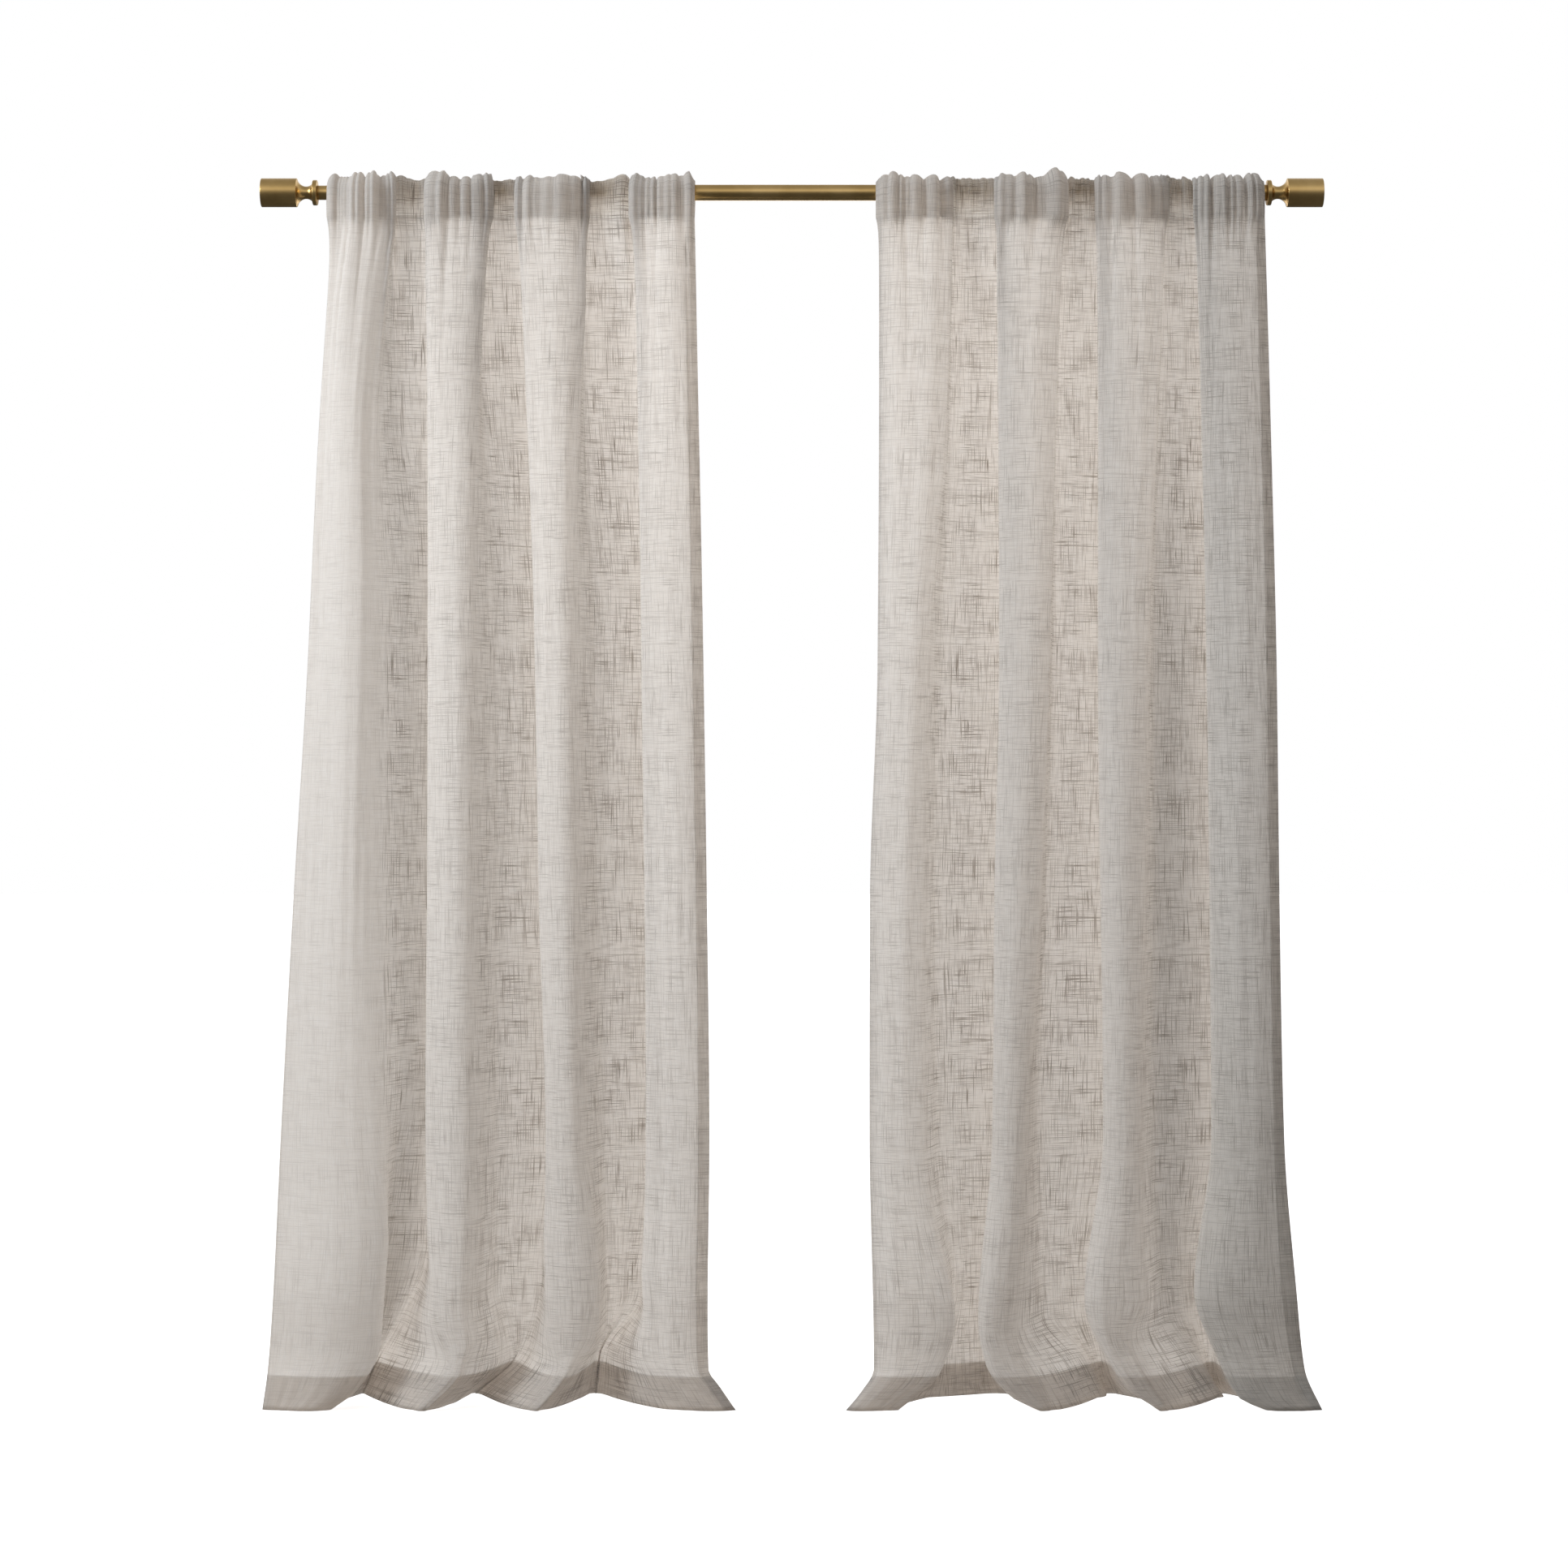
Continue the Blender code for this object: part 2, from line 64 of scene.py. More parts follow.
# ---- Camera ------------------------------------------------------------------------------------
CAMERA_X = -0.014
CAMERA_Z = 1.083
CAMERA_DISTANCE = 6.5
SENSOR_MM = 36.0
VIEW_WIDTH = 2.7396  # what the picture spans in the plane of the rod

# ---- Light -------------------------------------------------------------------------------------
FRONT_FILL, BACK_GLOW, OVERHEAD = 0.17, 0.58, 1.2  # the surround's levels from the room, the wall and above
KEY_SPREAD = 75.0  # degrees: the key falls off towards the floor

# ---- Cloth -------------------------------------------------------------------------------------
SEAM_Z = ROD_Z - 0.0465
FLAT_WIDTH = 1.27
BOTTOM_HEM = 0.076
SIDE_HEM = 0.025
SEAM_TURN = 0.010
LAYER_GAP = 0.0013
COLUMN_STEP = 0.00285
BODY_ROWS = 215
ROD_CLEARANCE = 0.0030
POCKET_TOP_SLACK = 0.0025
POCKET_BACK_SLACK = 0.0035
SHOULDER_DROP = 0.004  # how far below the rod's axis the pocket starts to bend over it
EDGE_FADE = 0.014  # how far in from a panel's side edges the gathers reach their full height
YARN_REPEAT = 0.0009
STITCH_PITCH = 0.0034
STITCH_LENGTH = 0.72 * STITCH_PITCH
STITCH_RADIUS = 0.00028
SLIT_HALF = 0.014  # the pocket's back is open this far to each side of a bracket's arm
SLIT_TOP = ROD_Z + 0.003
SLIT_FRONT_Y = -0.06
FLOOR_GAP = 0.0006

# How far the crests stand towards the room and the hollows lie back, by height.
CREST_Y = (
    (2.07, -0.036), (1.93, -0.048), (1.6, -0.060), (1.0, -0.068), (0.42, -0.070), (0.20, -0.084),
    (0.08, -0.073), (0.0, -0.080),
)
HOLLOW_Y = (
    (2.07, -0.0165), (1.93, -0.003), (1.6, 0.008), (1.0, 0.016), (0.4, 0.020), (0.13, 0.010),
    (0.0, 0.004),
)

# How each panel's folds lie, by height: where a crest's nose is across its face, how many bulges its
# face falls back to the left and to the right of the nose, and how much nearer to the room a hollow's
# left end is than its right end.
LEFT_LIE = dict(
    nose=((2.07, 0.50), (1.85, 0.60), (1.5, 0.70), (0.5, 0.70), (0.2, 0.64), (0.0, 0.70)),
    left_drop=((2.07, 1.2), (1.6, 1.5), (0.4, 1.5), (0.0, 1.3)),
    right_drop=((2.07, 1.2), (1.8, 0.9), (1.4, 0.5), (0.5, 0.5), (0.2, 0.9), (0.0, 1.1)),
    tilt=(
        (2.07, 0.0), (1.85, 0.008), (1.5, 0.026), (0.6, 0.028), (0.3, 0.010), (0.15, 0.0),
        (0.0, 0.0),
    ),
)
RIGHT_LIE = dict(
    nose=((2.07, 0.50), (1.85, 0.58), (1.5, 0.66), (0.5, 0.62), (0.2, 0.40), (0.0, 0.25)),
    left_drop=((2.07, 1.2), (1.6, 1.5), (0.4, 1.4), (0.0, 1.0)),
    right_drop=((2.07, 1.2), (1.8, 0.9), (1.4, 0.5), (0.5, 0.5), (0.2, 0.9), (0.0, 1.1)),
    tilt=((2.07, 0.0), (1.85, 0.008), (1.5, 0.026), (0.4, 0.030), (0.0, 0.040)),
)

# Each crest, from left to right: the heights and places of its two edges, how wide each flank shows
# (below zero it is tucked behind the crest) and how far the crest's middle bulges. Where they differ
# from the rest: how strongly the slubs show on it, and by height how much shade is painted on its
# cloth and on the cloth in the hollow to its right, as a darker colour that lets less light through.
LEFT_CRESTS = (
    dict(
        left=(
            (2.07, -0.8025), (1.74, -0.825), (1.29, -0.847), (0.89, -0.871), (0.47, -0.894),
            (0.18, -0.908), (0.07, -0.916), (0.0, -0.926),
        ),
        right=(
            (2.07, -0.702), (1.80, -0.700), (1.40, -0.672), (0.60, -0.674), (0.30, -0.706),
            (0.18, -0.716), (0.10, -0.723), (0.03, -0.763), (0.0, -0.804),
        ),
        right_flank=(
            (2.07, -0.004), (1.9, 0.018), (1.4, 0.058), (0.6, 0.054), (0.25, -0.004), (0.1, -0.012),
        ),
        bulge=((2.07, 0.010), (1.7, 0.024), (1.0, 0.030), (0.3, 0.028), (0.0, 0.014)),
        slubs=0.30,
        # Painted shade in the hollow to the right of this crest, strongest near the floor.
        hollow_painted_shade=(
            (2.07, 0.05), (0.9, 0.12), (0.45, 0.28), (0.18, 0.50), (0.08, 0.25), (0.0, 0.10),
        ),
    ),
    dict(
        left=(
            (2.07, -0.635), (1.29, -0.635), (0.47, -0.638), (0.27, -0.636), (0.15, -0.674),
            (0.07, -0.716), (0.0, -0.748),
        ),
        right=(
            (2.07, -0.537), (1.89, -0.542), (1.40, -0.512), (0.47, -0.510), (0.2, -0.512),
            (0.12, -0.497), (0.07, -0.490), (0.0, -0.560),
        ),
        left_flank=(
            (2.07, -0.014), (0.6, -0.014), (0.27, 0.002), (0.15, 0.046), (0.07, 0.106),
            (0.0, 0.084),
        ),
        right_flank=(
            (2.07, -0.008), (1.85, 0.004), (1.4, 0.045), (0.3, 0.045), (0.12, 0.058), (0.07, 0.080),
            (0.0, 0.075),
        ),
        bulge=((2.07, 0.009), (1.7, 0.016), (1.0, 0.022), (0.3, 0.020), (0.0, 0.010)),
    ),
    dict(
        left=(
            (2.07, -0.475), (1.29, -0.447), (0.89, -0.441), (0.47, -0.429), (0.2, -0.437),
            (0.12, -0.452), (0.07, -0.473), (0.0, -0.545),
        ),
        right=(
            (2.07, -0.364), (1.80, -0.362), (1.40, -0.340), (0.89, -0.334), (0.47, -0.328),
            (0.13, -0.322), (0.07, -0.342), (0.0, -0.352),
        ),
        left_flank=(
            (2.07, -0.012), (0.6, -0.012), (0.2, 0.008), (0.12, 0.030), (0.07, 0.062), (0.0, 0.084),
        ),
        right_flank=(
            (2.07, -0.008), (1.85, 0.004), (1.4, 0.040), (0.5, 0.040), (0.2, 0.018), (0.07, 0.040),
            (0.0, 0.088),
        ),
        bulge=((2.07, 0.009), (1.7, 0.016), (1.0, 0.020), (0.3, 0.018), (0.0, 0.010)),
    ),
    dict(
        left=(
            (2.07, -0.272), (1.29, -0.261), (0.89, -0.255), (0.47, -0.252), (0.18, -0.264),
            (0.07, -0.330), (0.0, -0.334),
        ),
        right=(
            (2.07, -0.170), (1.29, -0.155), (0.89, -0.149), (0.47, -0.1446), (0.18, -0.1475),
            (0.07, -0.146), (0.04, -0.126), (0.0, -0.098),
        ),
        left_flank=((2.07, -0.012), (0.4, -0.012), (0.18, 0.008), (0.07, 0.085), (0.0, 0.132)),
        bulge=((2.07, 0.008), (1.7, 0.014), (1.0, 0.018), (0.3, 0.016), (0.0, 0.010)),
    ),
)
RIGHT_CRESTS = (
    dict(
        left=(
            (2.07, 0.152), (1.29, 0.149), (0.89, 0.136), (0.47, 0.135), (0.07, 0.143),
            (0.03, 0.120), (0.0, 0.094),
        ),
        right=(
            (2.07, 0.278), (1.74, 0.275), (1.29, 0.257), (0.89, 0.251), (0.47, 0.255),
            (0.15, 0.284), (0.06, 0.256), (0.0, 0.186),
        ),
        right_flank=((2.07, -0.004), (1.74, 0.006), (1.2, 0.022), (0.4, 0.024), (0.1, -0.012)),
        bulge=((2.07, 0.009), (1.7, 0.018), (1.0, 0.022), (0.3, 0.020), (0.0, 0.010)),
    ),
    dict(
        left=(
            (2.07, 0.360), (1.29, 0.363), (0.89, 0.3545), (0.47, 0.350), (0.15, 0.326),
            (0.08, 0.338), (0.025, 0.379), (0.0, 0.430),
        ),
        right=(
            (2.07, 0.472), (1.89, 0.465), (1.29, 0.455), (0.89, 0.444), (0.47, 0.431),
            (0.15, 0.440), (0.07, 0.500), (0.0, 0.535),
        ),
        left_flank=((2.07, -0.012), (0.0, -0.012)),
        right_flank=(
            (2.07, -0.006), (1.7, 0.002), (1.0, 0.010), (0.4, 0.026), (0.15, 0.050), (0.07, 0.085),
            (0.0, 0.080),
        ),
        bulge=((2.07, 0.008), (1.7, 0.015), (1.0, 0.018), (0.3, 0.018), (0.0, 0.010)),
    ),
    dict(
        left=(
            (2.07, 0.537), (1.29, 0.536), (0.47, 0.5445), (0.19, 0.513), (0.04, 0.581),
            (0.0, 0.6395),
        ),
        right=(
            (2.07, 0.648), (1.74, 0.641), (1.29, 0.632), (0.47, 0.634), (0.15, 0.650),
            (0.07, 0.700), (0.0, 0.745),
        ),
        left_flank=((2.07, -0.008), (1.6, -0.010), (0.0, -0.012)),
        right_flank=(
            (2.07, -0.006), (1.6, 0.006), (0.9, 0.020), (0.2, 0.036), (0.07, 0.085), (0.0, 0.085),
        ),
        bulge=((2.07, 0.008), (1.7, 0.014), (1.0, 0.018), (0.3, 0.018), (0.0, 0.010)),
        # Painted shade in the hollow to the right of this crest, over most of its height.
        hollow_painted_shade=((2.07, 0.05), (1.7, 0.12), (1.1, 0.32), (0.2, 0.32), (0.0, 0.1)),
    ),
    dict(
        left=(
            (2.07, 0.708), (1.74, 0.716), (1.29, 0.725), (0.47, 0.7345), (0.205, 0.705),
            (0.09, 0.744), (0.02, 0.783), (0.0, 0.828),
        ),
        right=(
            (2.07, 0.826), (1.74, 0.835), (1.29, 0.8465), (0.89, 0.852), (0.47, 0.860),
            (0.2, 0.882), (0.07, 0.896), (0.0, 0.927),
        ),
        left_flank=((2.07, -0.012), (0.0, -0.012)),
        bulge=((2.07, 0.009), (1.7, 0.018), (1.0, 0.022), (0.3, 0.020), (0.0, 0.010)),
        slubs=0.85,
        # Painted shade on this outer fold, darker towards the floor.
        painted_shade=((2.07, 0.25), (1.0, 0.32), (0.3, 0.55), (0.0, 0.55)),
    ),
)
# No painted shade.
NO_PAINTED_SHADE = ((2.07, 0.0), (0.0, 0.0))
# A panel's finishes: hanging cloth; bottom hem and the seam's turned edge; side hems, the pocket's back
# and its front in the hollows.
SINGLE, HEM, OPEN = 0, 1, 2
CREST_SLUBS = 0.62  # how strongly the weave's slubs show on a crest, where the light falls on the front
HOLLOW_SLUBS = 0.9  # above this a place is in a hollow, where the slubs show fully
SWEEP_HEIGHT = 0.24  # below this the crests swing sideways and the hollows between them mostly don't
TUCK_FOLLOWS = 0.3  # how much of that swing the cloth tucked behind an edge follows
HOLLOW_LIFT = 0.017  # how far the hem hangs off the floor in the hollows


# ---- Curves ------------------------------------------------------------------------------------
def hermite(knots, values, slopes, at):
    """Cubic Hermite curve. values and slopes may have any trailing shape."""
    k = np.clip(np.searchsorted(knots, at, side="right") - 1, 0, len(knots) - 2)
    span = knots[k + 1] - knots[k]
    t = np.clip((at - knots[k]) / span, 0.0, 1.0)
    shape = (-1,) + (1,) * (values.ndim - 1)
    t, span = t.reshape(shape), span.reshape(shape)
    first = (2 * t**3 - 3 * t**2 + 1) * values[k] + (t**3 - 2 * t**2 + t) * span * slopes[k]
    return first + (3 * t**2 - 2 * t**3) * values[k + 1] + (t**3 - t**2) * span * slopes[k + 1]


def keyed(keys, heights):
    """Smooth, never overshooting curve through (height, value) keys, read at the heights."""
    z, value = np.array(sorted(keys), float).T
    rise = np.diff(value) / np.diff(z)
    slopes = np.concatenate([[rise[0]], np.zeros(len(z) - 2), [rise[-1]]])
    for k in range(1, len(z) - 1):
        if rise[k - 1] * rise[k] > 0:
            slopes[k] = 2 * rise[k - 1] * rise[k] / (rise[k - 1] + rise[k])
    return hermite(z, value, slopes, np.asarray(heights, float))


def spline_weights(knots, at):
    """Matrix that turns control values at the knots into a smooth curve's values at the places."""
    unit = np.eye(len(knots))
    rise = np.diff(unit, axis=0) / np.diff(knots)[:, None]
    slopes = np.empty_like(unit)
    slopes[0], slopes[-1] = rise[0], rise[-1]
    before, after = np.diff(knots)[:-1, None], np.diff(knots)[1:, None]
    slopes[1:-1] = (rise[:-1] * after + rise[1:] * before) / (before + after)
    return hermite(knots, unit, slopes, at)


# ---- Panel's plan ------------------------------------------------------------------------------
def panel_plan(crests, lie, heights, rng):
    """Control points (x, y) of the cloth's plan at each height, 1 at the crests and 0 in the hollows, and
    how strongly the slubs show and how much shade is painted on the cloth at each point."""
    held = np.maximum(heights, SWEEP_HEIGHT)
    front, back = keyed(CREST_Y, heights), keyed(HOLLOW_Y, heights)
    nose, left_drop, right_drop, tilt = (
        keyed(lie[key], heights) for key in ("nose", "left_drop", "right_drop", "tilt")
    )
    points, crestness, look = [], [], []

    def add(x, y, crest, slubs=1.0, painted_shade=NO_PAINTED_SHADE):
        points.append(np.stack([x, y], axis=-1))
        crestness.append(crest)
        look.append(np.stack([np.full(len(heights), slubs), keyed(painted_shade, heights)], axis=-1))

    def hollow_end(crest, edge, inward):
        """Where the cloth behind an edge is: at the edge when the flank shows, else tucked inward of it."""
        there, flank = keyed(crest[edge], heights), keyed(crest[edge + "_flank"], heights)
        swing = TUCK_FOLLOWS * there + (1 - TUCK_FOLLOWS) * keyed(crest[edge], held)
        shown = np.clip(flank / 0.010, 0.0, 1.0)
        return shown * there + (1 - shown) * (swing - inward * np.minimum(flank, 0.0)), flank

    last = len(crests) - 1
    for index, crest in enumerate(crests):
        left, right = keyed(crest["left"], heights), keyed(crest["right"], heights)
        bulge = keyed(crest["bulge"], heights)
        # A crest's own painted shade, and the painted shade in the hollow to its right.
        shows = (crest.get("slubs", CREST_SLUBS), crest.get("painted_shade", NO_PAINTED_SHADE))
        hollow_painted_shade = crest.get("hollow_painted_shade", NO_PAINTED_SHADE)
        far_y = back + np.minimum(tilt, 0.0)
        near_y = back - np.maximum(tilt, 0.0)
        if index == 0:
            face_left = left
            add(left + 0.005, front + (left_drop + 0.35) * bulge + 0.006, 0.8, *shows)
        else:
            x, flank = hollow_end(crest, "left", 1.0)
            add(x, far_y, 0.0)
            face_left = left + np.maximum(flank, 0.0)
            side_y = (far_y + front + left_drop * bulge) / 2
            add(left + np.maximum(flank, 0.0) * 0.45 + 0.001, side_y, 0.5)
        if index == last:
            face_right = right
        else:
            x, flank = hollow_end(crest, "right", -1.0)
            face_right = right - np.maximum(flank, 0.0)
        for across in (0.0, 0.13, 0.34, 0.58, 0.80, 1.0):
            drop = left_drop * (np.maximum(nose - across, 0.0) / nose) ** 2
            drop = drop + right_drop * (np.maximum(across - nose, 0.0) / (1.0 - nose)) ** 2
            add(face_left + (face_right - face_left) * across, front + bulge * drop, 1.0, *shows)
        if index < last:
            side_y = (near_y + front + right_drop * bulge) / 2
            add(right - np.maximum(flank, 0.0) * 0.45 - 0.001, side_y, 0.5)
            # The hollow's points carry the painted shade in it.
            add(x, near_y, 0.0, 1.0, hollow_painted_shade)
            ahead = hollow_end(crests[index + 1], "left", 1.0)[0]
            middle_y = (near_y + far_y) / 2 + rng.uniform(0.003, 0.007)
            add((x + ahead) / 2, middle_y, 0.0, 1.0, hollow_painted_shade)
    plan = np.stack(points, axis=1)
    plan[..., 0] *= 1.0 + plan[..., 1] / CAMERA_DISTANCE
    return plan, np.array(crestness), np.stack(look, axis=1)


def soften(grid, times):
    """Average each column with its neighbours, ends kept."""
    for _ in range(times):
        inner = (grid[:, :-2] + 2 * grid[:, 1:-1] + grid[:, 2:]) / 4
        grid = np.concatenate([grid[:, :1], inner, grid[:, -1:]], axis=1)
    return grid


def pocket_rows(seam_row, lift):
    """The rod pocket's rows: up the back from the seam, over the rod, down the front."""
    x, front = seam_row[:, 0], seam_row[:, 1]
    back = ROD_R + POCKET_BACK_SLACK + 0.15 * lift
    top = ROD_Z + ROD_R + POCKET_TOP_SLACK + lift
    shoulder = ROD_Z - SHOULDER_DROP
    seam_gap = LAYER_GAP * 1.6
    rows = []
    for share in np.linspace(0.0, 1.0, 9)[:-1]:
        bent = np.sin(share * math.pi / 2) ** 0.9
        y = (front + seam_gap) + (back - front - seam_gap) * bent
        rows.append(np.stack([x, y, SEAM_Z + (shoulder - SEAM_Z) * share + 0 * x], axis=-1))
    for angle in np.linspace(0.0, math.pi / 2, 9)[:-1]:
        z = shoulder + (top - shoulder) * np.sin(angle)
        rows.append(np.stack([x, back * np.cos(angle), z], axis=-1))
    for angle in np.linspace(math.pi / 2, 0.0, 10)[:-1]:
        z = shoulder + (top - shoulder) * np.sin(angle)
        rows.append(np.stack([x, front * np.cos(angle), z], axis=-1))
    for share in np.linspace(0.0, 1.0, 8)[:-1]:
        y = front * (1 + 0.05 * np.sin(math.pi * share))
        rows.append(np.stack([x, y, shoulder + (SEAM_Z - shoulder) * share + 0 * x], axis=-1))
    return np.stack(rows)


def grid_normals(grid):
    """Unit normals pointing to the cloth's wrong side."""
    across = np.gradient(grid, axis=1)
    down = np.gradient(grid, axis=0)
    normal = np.cross(across, down)
    return normal / np.maximum(np.linalg.norm(normal, axis=2, keepdims=True), 1e-12)


def gathers(flat_u, crestness, heights, in_pocket, rng, steps, tallness, fades):
    """Height of the puffs between sewn pinches, which run over the rod and fade out below the seam."""
    edges = [0.0]
    while edges[-1] < FLAT_WIDTH - 0.02:
        crest = np.interp(edges[-1], flat_u, crestness)
        step = rng.choice(steps, p=[0.20, 0.30, 0.30, 0.20])
        edges.append(edges[-1] + step * rng.uniform(0.85, 1.15) + 0.006 * crest)
    edges[-1] = FLAT_WIDTH
    fall = np.where(in_pocket, 0.0, np.maximum(SEAM_Z - heights, 0.0))[:, None]
    total = np.zeros((len(heights), len(flat_u)))
    facing = 0.15 + 0.85 * np.abs(2.0 * crestness - 1.0)
    slants = rng.uniform(-0.10, 0.10, len(edges)) * (np.arange(len(edges)) % (len(edges) - 1) > 0)
    lengths = rng.choice(fades, len(edges), p=[0.36, 0.32, 0.22, 0.10])
    for k in range(len(edges) - 1):
        low = edges[k] + slants[k] * np.minimum(fall, 0.16)
        high = edges[k + 1] + slants[k + 1] * np.minimum(fall, 0.16)
        share = (flat_u[None, :] - low) / np.maximum(high - low, 0.003)
        inside = np.clip(share, 0.0, 1.0)
        skewed = inside ** rng.choice([0.55, 0.8, 1.3, 1.9])
        dome = np.where((share > 0) & (share < 1), np.abs(1.0 - (2.0 * skewed - 1.0) ** 2), 0.0) ** 0.6
        height = tallness * (edges[k + 1] - edges[k]) * rng.uniform(0.5, 1.3)
        total += height * facing * dome * np.exp(-fall / (0.5 * (lengths[k] + lengths[k + 1])))
    return total * np.clip(np.minimum(flat_u, flat_u[-1] - flat_u) / EDGE_FADE, 0.0, 1.0)


def ripples(flat_u, heights, rng, count, amount, wave, length):
    """Slow waves in the hanging cloth, mostly upright."""
    total = np.zeros((len(heights), len(flat_u)))
    for _ in range(count):
        period = rng.uniform(*wave)
        drift = rng.uniform(-0.5, 0.5) / length
        phase = rng.uniform(0, 2 * math.pi)
        swell = 0.5 + 0.5 * np.sin(2 * math.pi * heights / rng.uniform(0.7, 1.6) + rng.uniform(0, 6.28))
        along = 2 * math.pi * (flat_u[None, :] / period + drift * heights[:, None]) + phase
        total += rng.uniform(0.4, 1.0) * swell[:, None] * np.sin(along)
    return amount * total / math.sqrt(count)


def panel_grid(crests, lie, seed):
    """One panel's rows and columns as points, with the columns' flat places, the number of pocket rows
    and the two looks of each point."""
    rng = np.random.default_rng(seed)
    share = np.linspace(0.0, 1.0, BODY_ROWS)
    heights = SEAM_Z * (1.0 - share)
    plan, crest_at, look_at = panel_plan(crests, lie, heights, rng)
    chords = np.linalg.norm(np.diff(plan, axis=1), axis=2).mean(axis=0)
    knots = np.concatenate([[0.0], np.cumsum(chords)])
    count = int(knots[-1] / COLUMN_STEP) + 1
    places = np.linspace(0.0, knots[-1], count)
    weights = spline_weights(knots, places)
    body = np.einsum("ck,rkd->rcd", weights, plan)
    body = soften(body, 3)
    crestness = np.clip(weights @ crest_at, 0.0, 1.0)
    look = np.clip(np.einsum("ck,rkd->rcd", weights, look_at), 0.0, 1.0)
    flat_u = places * FLAT_WIDTH / knots[-1]
    lift = HOLLOW_LIFT * (1.0 - crestness) ** 1.5
    z = heights[:, None] + lift[None, :] * (share[:, None] ** 6)
    body = np.concatenate([body, z[..., None]], axis=2)
    puff = 0.0006 + 0.0035 * crestness
    pocket = pocket_rows(body[0], puff)
    grid = np.concatenate([pocket, body], axis=0)
    look = np.concatenate([np.repeat(look[:1], len(pocket), axis=0), look], axis=0)
    in_pocket = np.arange(len(grid)) < len(pocket)
    row_z = np.concatenate([np.full(len(pocket), SEAM_Z), heights])
    normals = grid_normals(grid)
    place = (flat_u, crestness, row_z, in_pocket, rng)
    depth = -gathers(*place, (0.012, 0.024, 0.036, 0.050), 0.21, (0.03, 0.07, 0.16, 0.40))
    depth -= gathers(*place, (0.009, 0.012, 0.016, 0.022), 0.30, (0.010, 0.018, 0.035, 0.070))
    calm = np.where(in_pocket, 0.0, np.clip((SEAM_Z - row_z) / 0.3, 0.0, 1.0))[:, None]
    depth += calm * ripples(flat_u, row_z, rng, 9, 0.0016, (0.045, 0.13), 1.4)
    depth += calm * ripples(flat_u, row_z, rng, 7, 0.0007, (0.018, 0.04), 0.8)
    grid = grid + normals * depth[..., None]
    return keep_off_rod(grid, len(pocket)), flat_u, len(pocket), look


def keep_off_rod(grid, pocket_count):
    """Push pocket rows out to just above the tube's surface."""
    part = grid[:pocket_count]
    y, z = part[..., 1], part[..., 2] - ROD_Z
    distance = np.maximum(np.hypot(y, z), 1e-9)
    grow = np.maximum((ROD_R + ROD_CLEARANCE) / distance, 1.0)
    part[..., 1], part[..., 2] = y * grow, ROD_Z + z * grow
    return grid


def hemmed(grid, flat_u, pocket_count):
    """Fold the side hems, the bottom hem and the seam's turned edge behind the cloth."""
    path = np.linalg.norm(np.diff(grid, axis=0), axis=2).mean(axis=1)
    flat_v = np.concatenate([[0.0], np.cumsum(path)])
    flat_v -= flat_v[pocket_count]
    normals = grid_normals(grid)
    rows = [(row, 0.0, flat_v[row]) for row in range(len(grid))]
    seam_turn = [(row, LAYER_GAP * 0.6, flat_v[0] - (flat_v[row] - flat_v[0])) for row in (3, 2, 1)]
    rows = [entry for entry in seam_turn if flat_v[entry[0]] - flat_v[0] <= SEAM_TURN * 1.5] + rows
    bottom = len(grid) - 1
    rows.append((bottom, LAYER_GAP * 0.5, flat_v[-1] + 0.0005))
    for row in range(bottom, -1, -1):
        folded = flat_v[-1] - flat_v[row]
        if folded > BOTTOM_HEM:
            break
        rows.append((row, LAYER_GAP, flat_v[-1] + 0.001 + folded))
    columns = [(column, 0.0, flat_u[column]) for column in range(len(flat_u))]
    width = flat_u[-1]
    left = [column for column in range(len(flat_u)) if flat_u[column] <= SIDE_HEM]
    right = [column for column in range(len(flat_u)) if width - flat_u[column] <= SIDE_HEM]
    start = [(column, LAYER_GAP, -0.001 - flat_u[column]) for column in left[::-1]]
    start.append((0, LAYER_GAP * 0.5, -0.0005))
    end = [(len(flat_u) - 1, LAYER_GAP * 0.5, width + 0.0005)]
    end += [(column, LAYER_GAP, width + 0.001 + width - flat_u[column]) for column in right[::-1]]
    columns = start + columns + end
    row_at, row_off, row_v = (np.array(part) for part in zip(*rows))
    col_at, col_off, col_u = (np.array(part) for part in zip(*columns))
    points = grid[np.ix_(row_at, col_at)]
    offset = row_off[:, None] + col_off[None, :]
    points = points + normals[np.ix_(row_at, col_at)] * offset[..., None]
    points[..., 2] = np.maximum(points[..., 2], FLOOR_GAP)
    return points, col_u, row_v, row_at, col_at, offset


def add_mesh(name, vertices, faces):
    """A smooth-shaded object made of the vertices and faces."""
    mesh = bpy.data.meshes.new(name)
    mesh.from_pydata([tuple(v) for v in vertices], [], faces)
    mesh.shade_smooth()
    item = bpy.data.objects.new(name, mesh)
    bpy.context.scene.collection.objects.link(item)
    return item


